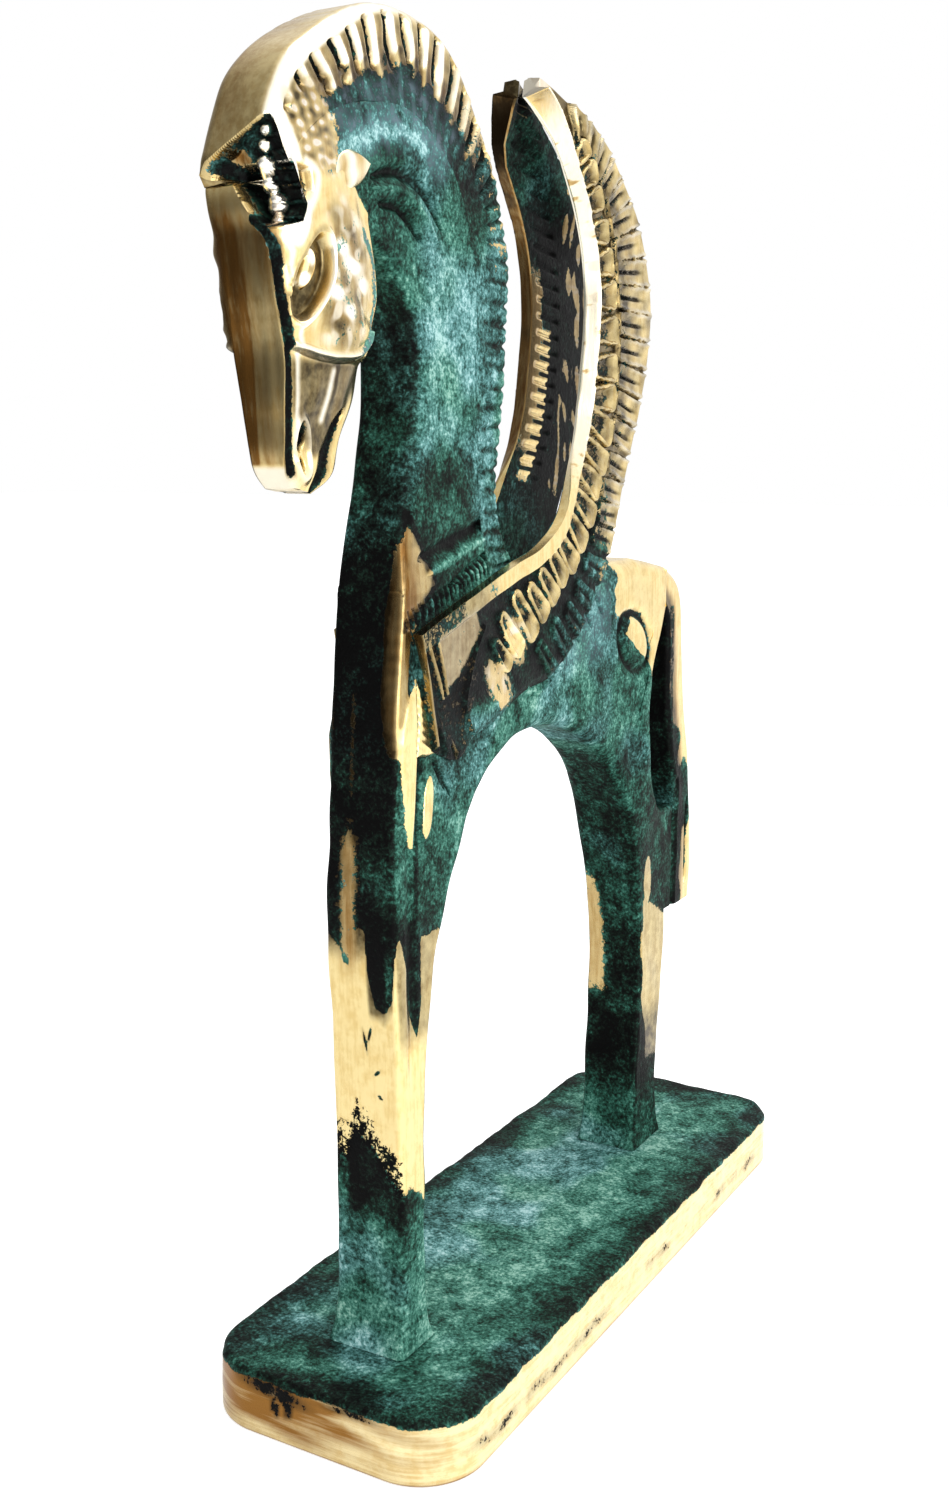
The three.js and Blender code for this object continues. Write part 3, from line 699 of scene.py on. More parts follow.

    # whitish verdigris: side of the neck, feet, edge of the haunch and of the arch
    bloom = 0.46 * foreSide * (1 - throat) * blot(y, z, (-28, 113), (8, 12.5), 0, 0.4)
    bloom = (
        bloom
        + 0.30 * foreSide * stroke(y, z, [(-31.4, 116), (-31.0, 108), (-31.6, 100)], 1.6)
        - 0.30 * foreSide * stroke(y, z, [(-34.8, 111), (-33.8, 105), (-36.0, 99)], 1.4)
        + ease(8, 1, z) * (0.16 + 0.24 * fore) + 0.35 * foreSide * blot(y, z, (-36, 9), (2.2, 9))
        + 0.25 * foreSide * blot(y, z, (-30, 60), (6, 5))
        + 0.40 * foreSide * stroke(y, z, [(-26.2, 58), (-29.6, 52), (-32.4, 45), (-34, 39)], 1.3)
        + 0.26 * hindSide * blot(y, z, (17, 68), (10, 9))
        + 0.36 * hind * stroke(y, z, [(23.6, 76), (23.4, 62), (24.6, 55), (28, 49), (32, 46)], 1.3)
        + 0.10 * (1 - fore) * (1 - hind) * flank
    )
    rubbed = foreSide * blot(y, z, (-37.2, 84), (2.2, 6.5), 4, 0.7)
    wear = np.maximum(wear, 0.47 * rubbed)
    tan = tan + 0.6 * rubbed
    soot = soot * (1 - 0.4 * np.clip(bloom, 0, 1))
    g.update(wear=wear, soot=np.clip(soot, 0, 1), bloom=np.clip(bloom, 0, 1), tan=np.clip(tan, 0, 1),
             green=0.15 + 0.5 * hind * ease(74, 58, z) + 0.3 * fore * ease(30, 10, z), steel=0.0 * y, pale=0.0 * y,
             pit=0.1 + 0.3 * fore * ease(40, 26, z) * ease(14, 20, z)
             + 1.3 * fore * front * ease(4.5, 0.5, np.abs(z - low - 1)))


def rimTicks(y, z):
    # a dark band above the wing's rim with a row of short strokes across it
    gap, run = lineDistance(y, z, [(-37, 81.2), (-30.5, 83.2), (-25.5, 84.7), (-20.5, 86.2), (-15.5, 87.6)])
    band = 1 - ease(0.5, 1.5, gap)
    return band, band * ease(0.4, 0.8, np.sin(run * 2 * np.pi * 22 + 1.2 * gap))


def mark(grid, word, value):
    # the stronger of a mark that is there and a new one
    grid[word] = np.clip(np.maximum(grid[word], value), 0, 1)


def unmark(grid, word, value):
    grid[word] = grid[word] * (1 - np.clip(value, 0, 1))


# Fore leg
foreLeg = {
    "front": [(-40.4, 0), (-39.6, 2.5), (-39.1, 8), (-39, 18), (-39.2, 28), (-39.6, 37.5), (-40.2, 45.5),
              (-40.2, 52.5), (-40, 57.5)],
    "back": [(-33.2, 0), (-33.9, 2.5), (-34.3, 8), (-34.3, 18), (-34.2, 28), (-33.2, 37.5), (-31.4, 45.5),
             (-28.4, 52.5), (-25, 57.5)],
    "halfWidths": [5, 4.7, 4.55, 4.55, 4.55, 4.55, 4.55, 4.55, 4.3],
}


def makeForeLeg():
    p = foreLeg
    g = barGrid(p["back"], p["front"], 210, p["halfWidths"], sideCount=44, edgeCount=22, outerRound=0.8)
    bodyMarks(g)
    roughen(g)
    y, z = g["y"], g["z"]
    flute = stroke(y, z, [(-37.1, 57.5), (-37.1, 45), (-36.8, 34), (-36.8, 30)], 1.4)
    lift(g, -0.40 * flute * ease(29, 36, z))
    return makePiece("foreLeg", "fore_leg", [g])


makeForeLeg()


# Chest
chest = {
    "front": [(-40, 57.5), (-39.5, 65), (-38.9, 73), (-37.6, 84.5), (-31, 84.5), (-22, 84.5)],
    "arch": [(-25, 57.5), (-24.4, 58.2), (-23.8, 58.8), (-23.2, 59.4), (-22.6, 60), (-22, 60.5)],
    "innerRound": [0.7, 0.9, 1.1, 1.4, 1.7, 2],
    "outerRound": [0.8, 0.8, 0.8, 0.8, 0.05, 0.05],
    "leftBlade": [(-36.0, 75.4), (-37.6, 72.5), (-38.8, 69), (-38.9, 65), (-38.2, 60), (-37.1, 56.5), (-36.4, 60),
        (-36.0, 65),
                  (-35.4, 70)],
    "rightBlade": [(-35.9, 75.4), (-36.1, 67.0), (-31.9, 66.9)],
}


def makeChest():
    p = chest
    places = np.linspace(0, 5, 61)
    straight = lambda points: np.stack([np.interp(places, range(6), axis) for axis in np.array(points).T], -1)
    level = lambda values: np.interp(places, range(6), values)
    g = barGrid(straight(p["arch"]), straight(p["front"]), 240, 4.3, sideCount=96, edgeCount=22,
                innerRound=level(p["innerRound"]), outerRound=level(p["outerRound"]), corners=(36,))
    bodyMarks(g)
    roughen(g)
    y, z, side = g["y"], g["z"], g["side"]
    # a leaf of two blades with a centre vein, a smaller one behind its foot, and incised lines between them
    blades = np.maximum(inside(y, z, p["leftBlade"], 0.4), inside(y, z, p["rightBlade"], 0.4)) * side
    vein = taperStroke(y, z, [(-36.0, 74.6), (-35.7, 70.6), (-36.1, 67.0)], 0.45)
    second = blot(y, z, (-33.6, 61.2), (0.95, 3.4), -10, 0.2) * side
    ribbing = 0.5 + 0.5 * np.cos((z + 0.5 * y) * 2 * np.pi / 0.9)
    lift(g, 0.50 * blades - 0.40 * vein + 0.40 * second - 0.06 * ribbing * blades * ease(-36.2, -35.6, y))
    cuts = stroke(y, z, [(-35.0, 66.5), (-35.4, 60), (-35.6, 50)], 0.8)
    cuts = (
        cuts + taperStroke(y, z, [(-32.4, 66.2), (-29.6, 62.4)], 0.55)
        + taperStroke(y, z, [(-30.6, 64.6), (-28.4, 61.4)], 0.4)
    )
    lift(g, -0.45 * np.clip(cuts, 0, 1))
    unmark(g, "soot", 0.9 * blades)
    mark(g, "soot", 0.7 * np.clip(cuts, 0, 1))
    leafy = np.clip(blades + second, 0, 1)
    mark(g, "wear", leafy * (1 - 0.6 * vein))
    g["tan"] = np.clip(g["tan"] * (1 - leafy) + 0.45 * vein * leafy, 0, 1)
    band, tick = rimTicks(y, z)
    lift(g, 0.3 * tick - 0.25 * band)
    mark(g, "soot", 0.85 * band * (1 - tick) * side)
    mark(g, "bloom", 0.7 * tick * side)
    return makePiece("chestCasting", "chest", [g])


makeChest()


# Barrel
barrel = {
    "belly": [(-22, 60.5), (-19.5, 62.3), (-16, 64.2), (-12, 65.5), (-7.5, 65.8), (-2, 65.3), (3, 63.9), (7.5, 62),
              (12, 59.2)],
    "back": [(-22, 84.5), (-20, 84.5), (-16, 84.5), (-11.5, 84.5), (-7, 85), (-1, 85.2), (5, 85), (9, 84.8),
             (12, 84.5)],
    "cuts": [(-11, 76.4), (-7.6, 78), (-4, 78.8), (-0.6, 79.5), (3, 81), (6, 82.4)],
    "beadLine": [(-19.4, 68.3), (-13.4, 72), (-9, 70.6), (-2.5, 73)],
}


def makeBarrel():
    p = barrel
    g = barGrid(p["belly"], p["back"], 180, 4.3, sideCount=84, edgeCount=16, innerRound=2.0,
                outerRound=[0.05, 0.3, 0.3, 0.3, 1.2, 2.4, 2.4, 2.4, 2.4])
    bodyMarks(g)
    roughen(g)
    y, z = g["y"], g["z"]
    # short slanting cuts below the wing's lower edge, and a row of small beads
    cuts = sum(taperStroke(y, z, [(a, b), (a + 3.4, b - 4.2)], 0.6) for a, b in p["cuts"])
    gap, run = lineDistance(y, z, p["beadLine"])
    beads = (1 - ease(0.2, 1.0, gap)) * (0.5 + 0.5 * np.cos(run * 2 * np.pi * 14))
    lift(g, 0.45 * beads - 0.55 * np.clip(cuts, 0, 1))
    mark(g, "soot", 0.60 * np.clip(cuts, 0, 1))
    mark(g, "soot", 0.45 * ease(76, 81, z) * ease(8, -2, y))
    mark(g, "bloom", 0.6 * beads)
    g["steel"] = 0.3 * blot(y, z, (3, 78), (10, 6)) * g["flank"]
    return makePiece("barrelCasting", "barrel", [g])


makeBarrel()


# Hindquarter
hindquarter = {
    "front": [(12, 59.2), (14, 57.4), (15.2, 56), (16, 55), (16.6, 54.2), (17.4, 53.1), (18.5, 51.3), (19.6, 49),
              (20.6, 46.5), (21.5, 43.7), (22.2, 41.2), (22.9, 38), (23.6, 33.5)],
    "rear": [(12, 84.5), (20.5, 84.8), (28.5, 83.2), (28.5, 77.7), (26, 77), (24.6, 75), (24.1, 69), (24.1, 62),
             (24.8, 55.8), (26.8, 51), (30, 48.7), (34.6, 48.5), (34.6, 33.5)],
    "innerHalf": [4.3, 4.3, 4.3, 4.3, 4.3, 4.3, 4.3, 4.3, 4.3, 4.3, 4.3, 4.15, 4.15],
    "outerHalf": [4.3, 4.6, 4.9, 4.9, 4.9, 4.9, 4.9, 4.9, 4.9, 4.9, 4.3, 4.15, 4.15],
    "swell": [0, 0.1, 0.2, 0.3, 0.3, 0.4, 0.5, 0.5, 0.4, 0.3, 0.2, 0.1, 0],
    "innerRound": [2, 2, 1.9, 1.8, 1.6, 1.4, 1.3, 1.2, 1, 0.9, 0.8, 0.7, 0.7],
    "outerRound": [2.4, 2.2, 1.4, 1, 1, 1.4, 1.6, 1.6, 1.4, 0.9, 0.7, 0.7, 0.7],
    "eye": (19.0, 73.7), "eyeRadii": (4.8, 3.5), "eyeTurn": -34,
}


def makeHindquarter():
    p = hindquarter
    last = len(p["front"]) - 1
    fine = np.linspace(0, last, last * 12 + 1)
    rear = np.stack([np.interp(fine, range(last + 1), axis) for axis in np.array(p["rear"]).T], -1)
    soft = alongCurve(p["rear"], fine)
    keep = (1 - ease(4.0, 5.0, fine)[:, None]) + ease(9.5, 10.0, fine)[:, None]
    rear = rear * keep + soft * (1 - keep)
    level = lambda values: np.interp(fine, range(last + 1), values)
    rounding = level(p["outerRound"])
    rounding[25:37] = 0.05
    g = barGrid(alongCurve(p["front"], fine), rear, 320, level(p["innerHalf"]), level(p["outerHalf"]),
            level(p["swell"]),
                innerRound=level(p["innerRound"]), outerRound=rounding, sideCount=96, edgeCount=14,
                corners=(24, 36, 48))
    bodyMarks(g)
    roughen(g)
    y, z, side = g["y"], g["z"], g["side"]
    # almond loop on the rump: a ring groove round a raised eye
    loop = oval(y, z, p["eye"], p["eyeRadii"], p["eyeTurn"])
    ring = np.exp(-((loop - 1) / 0.16) ** 2) * side
    lift(g, -0.55 * ring + 0.30 * (1 - ease(0.6, 0.9, loop)))
    hollow = inside(y, z, [(17, 61.5), (18.6, 56.5), (22.0, 57), (22.6, 60.5), (20.5, 62.5)], 0.9)
    lift(g, -0.35 * hollow)
    unmark(g, "wear", (1 - ease(1.0, 1.2, loop)) * side)
    mark(
        g, "wear", side * inside(y, z, [(16.0, 75.0), (22.4, 70.6), (22.2, 74.6), (18.0, 77.6)], 0.4)
        * ease(0.92, 0.84, loop)
    )
    mark(g, "soot", 0.85 * ring)
    mark(g, "soot", 0.95 * g["outer"] * ease(78, 74, z) * ease(44, 52, z))
    mark(g, "soot", 0.5 * side * stroke(y, z, [(33.6, 50), (34.4, 34)], 1.2))
    return makePiece("hindquarterCasting", "hindquarter", [g])


makeHindquarter()


# Hind leg
hindLeg = {
    "front": [(23.6, 33.5), (24, 27), (23.7, 20), (23.2, 13), (22.9, 7), (22.6, 2.5), (22, 0)],
    "back": [(32.5, 33.5), (32.4, 27), (31.5, 20), (30.7, 13), (30.5, 7), (30.9, 2.5), (31.6, 0)],
    "halfWidths": [4.15, 4.15, 4.15, 4.15, 4.15, 4.3, 4.6],
}


def makeHindLeg():
    p = hindLeg
    g = barGrid(p["front"], p["back"], 140, p["halfWidths"], sideCount=44, edgeCount=14)
    bodyMarks(g)
    roughen(g)
    return makePiece("hindLeg", "hind_leg", [g])


makeHindLeg()


# Tail
tail = {
    "inner": [(28.5, 77.7), (29.9, 75.2), (30.1, 70), (30.7, 64), (31.9, 58.5), (33.6, 53.5), (34.6, 49.5),
        (34.6, 44),
              (34.6, 38), (34.6, 33.5)],
    "outer": [(28.5, 83.2), (33.4, 80.6), (35.1, 75), (36.3, 68), (37.7, 61.5), (39.3, 55), (40.4, 49.5), (41.1, 44),
              (41.6, 38.5), (41.3, 33.5)],
    "halfWidths": [4.9, 4.85, 4.8, 4.7, 4.65, 4.6, 4.55, 4.5, 4.45, 4.4],
}


def makeTail():
    p = tail
    g = barGrid(
        p["inner"], p["outer"], 240, p["halfWidths"], innerRound=0.8, outerRound=1.4, sideCount=46, edgeCount=14
    )
    roughen(g)
    x, y, z, side, share = (g[word] for word in ("x", "y", "z", "side", "share"))
    wavy = ripple(x, y, z, 5, 33)
    cut = taperStroke(y, z, [(38.6, 49), (38.6, 42), (38.8, 36)], 0.8) * side
    seam = stroke(y, z, [(34.8, 52), (34.8, 34)], 0.7) * side
    lift(g, -0.6 * cut - 0.35 * seam)
    patch = blot(y, z, (37.4, 49.5), (2.6, 5.4), 8) * side
    wear = np.maximum(g["outer"], side * ease(-0.12, 0.12, share - 0.34 + 0.16 * wavy))
    wear = np.clip(np.maximum(wear, ease(76, 79, z)), 0, 1) * (1 - 0.95 * patch)
    wear = np.maximum(wear * (1 - cut) * (1 - 0.9 * seam), 0.44 * side * ease(58, 66, z))
    wear = wear * (1 - g["inner"])
    soot = np.clip(0.95 * g["inner"] + 0.75 * side * ease(0.55, 0.25, share) + cut + 0.6 * seam + 0.35 * patch, 0, 1)
    soot = soot * (1 - 0.7 * g["inner"] * ease(58, 50, z))
    bloom = 0.45 * side * blot(y, z, (34.2, 48), (1.6, 6)) + 0.2 * patch
    g.update(wear=wear, soot=soot, bloom=bloom, tan=0.10 + 0.5 * side * ease(0.62, 0.4, share), green=0.5, pit=0.1)
    return makePiece("tailCasting", "tail", [g])


makeTail()


# Neck
# the line between neck and mane, and on between head and mane down to the foot of the forelock
crestRoot = [(-19.7, 84.5), (-21.2, 89.5), (-22, 95.5), (-22.3, 101.5), (-22.4, 107.5), (-22.4, 113.5),
        (-23.4, 120.5),
             (-27.2, 127), (-34.8, 131.3), (-43, 131), (-49, 129.1), (-54.3, 125.8), (-57.6, 121.8)]
crestHalf = [4.3, 4.0] + [3.9] * 9 + [4.4, 4.0]

neck = {
    "throat": [(-37.6, 84.5), (-37, 90.5), (-35.6, 96.5), (-34.4, 102.5), (-34.2, 108.5), (-35.9, 113.3),
        (-39.2, 116.8),
               (-41.8, 118.2), (-42.6, 118.6), (-43, 118.7)],
    "halfWidths": [4.3, 4.0, 3.9, 3.9, 3.9, 3.9, 3.9, 3.9, 3.9, 3.9],
    "throatRound": [0.8, 1.4, 1.6, 1.6, 1.6, 1.6, 1.6, 1.4, 1.2, 0.9],
}


def pollMarks(g):
    # shared by the neck, the mane and the head: bluish film under the crown
    y, z = g["y"], g["z"]
    film = stroke(y, z, [(-50, 125.4), (-46, 127.2), (-42.6, 128.4), (-38, 130), (-34, 130.2), (-30.5, 128)], 3.6)
    film = np.maximum(film, 0.5 * stroke(y, z, [(-50, 128.4), (-43, 131.4), (-35, 133.4), (-28, 130)], 3.4))
    patchy = np.clip(0.55 + 0.45 * ripple(0, y, z, 2.6, 47), 0, 1)
    g["steel"] = np.clip(film * g["side"] * patchy, 0, 1)
    unmark(g, "wear", 0.95 * film * g["side"])
    unmark(g, "soot", 0.35 * film)
    mark(g, "soot", 0.42 * film * (1 - patchy))
    arc = stroke(y, z, [(-49, 125.4), (-45.5, 126.8), (-40.6, 128.6), (-36, 129.2), (-33, 128.2)], 1.5) * g["side"]
    mark(g, "bloom", arc * (0.5 + 0.5 * patchy))
    g["green"] = g["green"] - 1.6 * film
    unmark(g, "soot", 0.8 * arc)
    g["steel"] = g["steel"] * (1 - 0.75 * arc)
    # light brown, smooth metal between the recess and the ear, with painted highlights and darker spots on its lumps
    smooth = blot(y, z, (-52.0, 126.6), (3.8, 4.2), 30, 0.5) * g["side"] * ease(122.4, 124.4, z)
    lumpy = ripple(0, y, z, 1.3, 62)
    mark(g, "wear", smooth)
    g["tan"] = g["tan"] * (1 - smooth) + (0.26 + 0.10 * lumpy) * smooth
    g["soot"] = g["soot"] * (1 - smooth) + np.clip(0.40 - 0.50 * lumpy, 0, 1) * smooth
    g["pale"] = g["pale"] * (1 - smooth) + ease(0.2, 0.7, lumpy) * smooth
    g["steel"] = g["steel"] * (1 - smooth)
    # painted highlight along the brow's edge and round the top of the three-cornered recess
    edge = stroke(
        y, z, [(-58.6, 133), (-57.6, 130.0), (-56.7, 127.5), (-55.7, 124.9), (-55.0, 122.2), (-54.6, 119.6),
            (-55.6, 117.4)], 1.25, 0.5
    )
    edge = (
        edge * ease(2.6, 3.2, g["x"])
        + 0.9 * stroke(y, z, [(-53.8, 124.0), (-52.3, 123.2), (-52.6, 121.4), (-54.2, 119.4)], 0.8) * g["side"]
    )
    edge = np.clip(edge, 0, 1) * (1 - g.get("deep", 0 * y))
    mark(g, "wear", edge)
    mark(g, "pale", edge)
    unmark(g, "soot", edge)
    unmark(g, "tan", edge)


def makeNeck():
    p = neck
    fine = np.linspace(0, 9, 109)
    level = lambda values: np.r_[values[0], alongCurve(values, fine)]
    root, throat = alongCurve(crestRoot, fine), alongCurve(p["throat"], fine)
    root, throat = np.vstack([root[:1] - (0, 0.7), root]), np.vstack([throat[:1] + (-0.07, -0.7), throat])
    halves = level(p["halfWidths"])
    halves[0] -= 0.03
    rounding = level(p["throatRound"])
    rounding[:2] = 0.6
    g = barGrid(root, throat, 284, halves, innerRound=0.02, outerRound=rounding, sideCount=80,
                edgeCount=14, corners=(1,))
    bodyMarks(g)
    roughen(g)
    y, z, side = g["y"], g["z"], g["side"]
    deep = taperStroke(y, z, [(-42.6, 124.2), (-38, 125.4), (-33, 124.4), (-29.2, 120.8)], 1.15)
    deep = np.maximum(deep, taperStroke(y, z, [(-41.4, 122), (-37, 121.9), (-33.4, 119.2)], 1.0))
    ridge = taperStroke(y, z, [(-42.5, 123.2), (-37.5, 123.7), (-33, 121.8), (-30.6, 119.4)], 0.8)
    bands = taperStroke(y, z, [(-34.6, 87.6), (-29.0, 88.8), (-24.0, 89.9), (-19.0, 91.6)], 1.6)
    crest = taperStroke(y, z, [(-33.0, 86.0), (-30.4, 86.7), (-25.6, 88.0), (-20.4, 89.3)], 1.0)
    lowBand = taperStroke(y, z, [(-32, 82.4), (-25.4, 85.6), (-19.6, 87.8)], 0.8)
    lift(g, 0.40 * ridge - 0.85 * deep - 0.55 * bands + 0.35 * crest - 0.45 * lowBand)
    mark(g, "soot", 0.85 * deep)
    mark(g, "soot", 0.95 * bands)
    mark(g, "soot", 0.55 * lowBand)
    mark(g, "bloom", 0.6 * ridge * side)
    mark(g, "bloom", 0.95 * crest * side)
    unmark(g, "soot", 0.8 * crest)
    pollMarks(g)
    band, tick = rimTicks(y, z)
    lift(g, 0.3 * tick - 0.25 * band)
    mark(g, "soot", 0.85 * band * (1 - tick) * side)
    mark(g, "bloom", 0.7 * tick * side)
    return makePiece("neckCasting", "neck", [g])


makeNeck()


# Pit on the near side of the forehead. It is cut into the mane's foot and the top of the head alike.
pit = {
    "heights": [118.0, 118.7, 120.3, 122.3, 124.8, 126.4, 127.9, 129],
    "floor": [-57.3, -55.0, -54.4, -55.4, -56.6, -57.0, -57.4, -58.6],
    # across, height and radius of each bead of the string that hangs in it
    "beads": [(2.6, 126.2, 0.55), (2.2, 125.0, 0.6), (1.9, 123.4, 0.9), (1.7, 121.8, 0.85), (2.1, 120.3, 1.05),
        (2.3, 118.9, 0.7)],
}


def carvePit(g):
    # moves the skin back to the pit's floor between the forelock's slanting edge and the top of the nose
    x, y, z = g["x"], g["y"], g["z"]
    over = ease(0.2, -0.2, z - (125.3 + 0.72 * x))
    under = ease(-0.2, 0.2, z - np.interp(x, [-3.5, -0.8, 1.5, 2.6, 3.9], [122.5, 122.2, 118.6, 118.2, 118.0]))
    depth = np.maximum(np.interp(z, pit["heights"], pit["floor"]) - y, 0)
    shallow = ease(-3.6, -0.6, x)
    cut = over * under * (g["y"] < -50)
    g["y"] = y + cut * (depth * shallow + 0.35 * (1 - shallow) * g["inner"])
    beads = 0
    for across, height, size in pit["beads"]:
        beads = np.maximum(
            beads, size * np.sqrt(np.clip(1 - ((x - across) ** 2 + (z - height) ** 2) / size ** 2, 0, 1))
        )
    shelves = ease(2.6, 3.2, x) * ease(0.25, 0.05, np.abs(z - 120.4 - 1.35 * np.round((z - 120.4) / 1.35)))
    g["y"] = g["y"] - cut * shallow * (1.2 * beads + 0.5 * shelves * (depth > 0.6))
    # colours: the inside of the pit painted dark as shade, painted highlights on the beads, and a painted warm
    # reflection glowing inside it
    inPit = cut * ease(0.1, 0.4, depth) * ease(-3.4, -1.8, x)
    shine = ease(0.1, 0.3, beads)
    glow = (
        inPit * np.clip(blot(x, z, (-0.6, 124.3), (1.5, 0.9), -30, 0.9)
            + 0.45 * blot(x, z, (1.4, 126.4), (0.7, 1.3), -30, 0.9), 0, 1)
    )
    glow = glow + 0.3 * inPit * shelves * (depth > 0.6)
    return np.clip(inPit * (1 - shine), 0, 1), shine * cut * shallow, np.clip(glow, 0, 1) * (1 - shine)


# Mane
mane = {
    "edge": [(-11.5, 84.5), (-15.8, 89.5), (-16.8, 95.5), (-15.9, 101.5), (-15, 107.5), (-14.5, 114), (-14.6, 121),
             (-18.4, 130), (-27.5, 139.4), (-39, 140.6), (-47.8, 137.5), (-55.6, 131.8), (-59.4, 123.4)],
    # where on the root line a lock ends that starts at 0, 1, 2 ... on the outer edge
    "lockEnds": [0, 1, 2, 3, 4, 5, 5.95, 6.5, 7.45, 8.3, 9.15, 10.35, 12],
    "crownPitch": 3.5,
    "neckPitch": 2.3,
}


def makeMane():
    p = mane
    fine = np.linspace(0, 12, 145)
    rootPlace = np.interp(fine, range(13), p["lockEnds"])
    edgeLine, rootLine = alongCurve(p["edge"], fine), alongCurve(crestRoot, rootPlace)
    level = lambda values: np.interp(fine, range(13), values)
    g = barGrid(rootLine, edgeLine, 620, alongCurve(crestHalf, rootPlace), level([3.7] * 7 + [3.5] * 6),
                innerRound=0.02, outerRound=level([0.9] * 6 + [1.0] + [1.2] * 6), sideCount=52, edgeCount=40)
    y, z, side, along, span = (g[word] for word in ("y", "z", "side", "along", "span"))
    place = g["place"] / 12
    bodyMarks(g)
    roughen(g)
    # locks: the phase grows by one for each lock, counted along the outer edge
    places = place[:, 0]
    edge = alongCurve(p["edge"], places)
    run = np.r_[0, np.cumsum(np.hypot(*np.diff(edge, axis=0).T))]
    pitch = p["neckPitch"] + (p["crownPitch"] - p["neckPitch"]) * ease(6.4, 7.4, places)
    phase = np.r_[0, np.cumsum(np.diff(run) / pitch[1:])][:, None] + 0.16 * ripple(0, y, z, 7, 41)
    fromEdge = span - along
    crown = ease(6.0, 7.4, place)
    cell = phase - np.floor(phase)
    gap = np.minimum(cell, 1 - cell)
    groove = np.exp(-(gap / (0.16 + 0.03 * ripple(0, y, z, 2.5, 45))) ** 2)
    ridge = np.exp(-((cell - 0.75) / 0.125) ** 2)
    twice = phase * 2 + 0.25 * ripple(0, y, z, 3, 43)
    half = np.abs(twice - np.round(twice))
    fineCut = np.exp(-(half / 0.22) ** 2)
    lockLength = 4.6 + 1.9 * crown - 2.8 * ease(10.2, 11.4, place) + 1.1 * ripple(0, y, z, 2.2, 42)
    start = 0.15 + 0.45 * crown + 0.8 * ease(8.8, 10.2, place)
    reach = ease(0.0, 2.4, lockLength - fromEdge) * ease(11.6, 11.0, place) * ease(0, 0.4, fromEdge - start)
    lift(g, reach * crown * (0.30 * ridge - 0.85 * groove))
    neckRibs = (1 - crown) * ease(-1.0, 2.2, 6.4 - fromEdge)
    lift(g, -neckRibs * (0.26 * groove + 0.20 * fineCut) * (0.7 + 0.3 * ripple(0, y, z, 4, 44)))
    scallop = (0.34 * (1 - crown) + 0.06) * ease(10.6, 9.6, place)
    push(g, -scallop * groove * g["outer"])
    # forelock: its foot is rounded off and cut away on the near side
    toEnd = (places[-1] - place) * 8.6
    push(g, -(1.7 - np.sqrt(np.clip(1.7 ** 2 - np.clip(1.7 - toEnd, 0, 1.7) ** 2, 0, 9))) * g["outer"])
    deep, shine, glow = carvePit(g)
    x = g["x"]
    # colours
    inner = ease(-2.4, 1.6, fromEdge - lockLength + 0.8 * ripple(0, y, z, 1.5, 58))
    late = ease(6.9, 8.3, place)
    wear = (
        crown * (1 - inner) * (1 - ease(0.45, 0.8, groove * reach))
        * (0.42 + 0.58 * np.maximum(late, ease(1.6, 0.8, fromEdge)))
    )
    wear = most(
        wear,
        (0.42 + 0.20 * ridge) * ease(4.4, 6.2, place) * (1 - groove) * ease(6.0, 3.0, fromEdge) * (1 - crown),
        g["outer"] * ease(5.0, 7.2, place),
    )
    mark(g, "wear", np.maximum(wear, ease(11.0, 11.6, place)))
    unmark(g, "wear", deep)
    mark(g, "wear", np.maximum(shine, glow))
    unmark(g, "bloom", ease(4.5, 6.5, place))
    unmark(g, "bloom", 0.75)
    mark(g, "soot", (0.55 + 0.45 * crown) * groove * np.clip(1.3 * reach + 0.6 * neckRibs, 0, 1))
    mark(g, "soot", 0.30 * ease(5.0, 7.0, place) * ease(0.2, 1.4, fromEdge) * (1 - crown))
    mark(
        g, "soot", 0.85 * crown * ease(2.6, 0.3, np.abs(fromEdge - lockLength + 0.9)) * np.clip(1 - 0.6 * ridge, 0, 1)
    )
    mark(g, "soot", 0.95 * deep * (1 - glow))
    g["green"] = g["green"] * (1 - crown)
    # painted shade on the outer face of the forelock, darker where it mirrors the dim side of the room
    shade = 0.6 * blot(x, z, (-2.2, 131.5), (2.0, 4.6), 12, 0.7) + 0.5 * blot(x, z, (-1.5, 137.4), (2.0, 1.6), 0, 0.8)
    shade = shade + 0.4 * blot(x, z, (-3.4, 126), (1.0, 2.6), 0, 0.8)
    cloud = crown * g["outer"] * ease(2.6, -1.0, x)
    g["soot"] = np.clip(
        np.maximum(g["soot"], cloud * (0.02 + 0.20 * ripple(x, 0.7 * y, 0.7 * z, 4.5, 48)) * ease(7.6, 8.6, place)),
        0, 1
    )
    flat = (
        crown * side * ease(0.3, 1.2, fromEdge) * (1 - np.clip(1.3 * ridge, 0, 1))
        * (1 + 0.4 * ripple(0, y, z, 1.8, 59))
    )
    flat = flat * (0.30 + 0.9 * ease(1.0, 5.0, fromEdge))
    face = side * crown * (1 - np.clip(1.6 * ridge, 0, 1)) * ease(0.4, 1.4, fromEdge)
    mark(g, "soot", face * (0.58 + 0.16 * ripple(0, y, z, 1.4, 65) + 0.16 * ease(1.5, 5.5, fromEdge)))
    mark(g, "soot", 0.62 * side * crown * (1 - late) * ease(0.8, 2.4, fromEdge))
    g["tan"] = np.clip(
        (0.60 * shade + 0.10 * cloud) * g["outer"] * ease(8.2, 9.4, place) + 0.50 * flat + 0.06 * crown
        + 0.25 * (1 - crown), 0, 1
    )
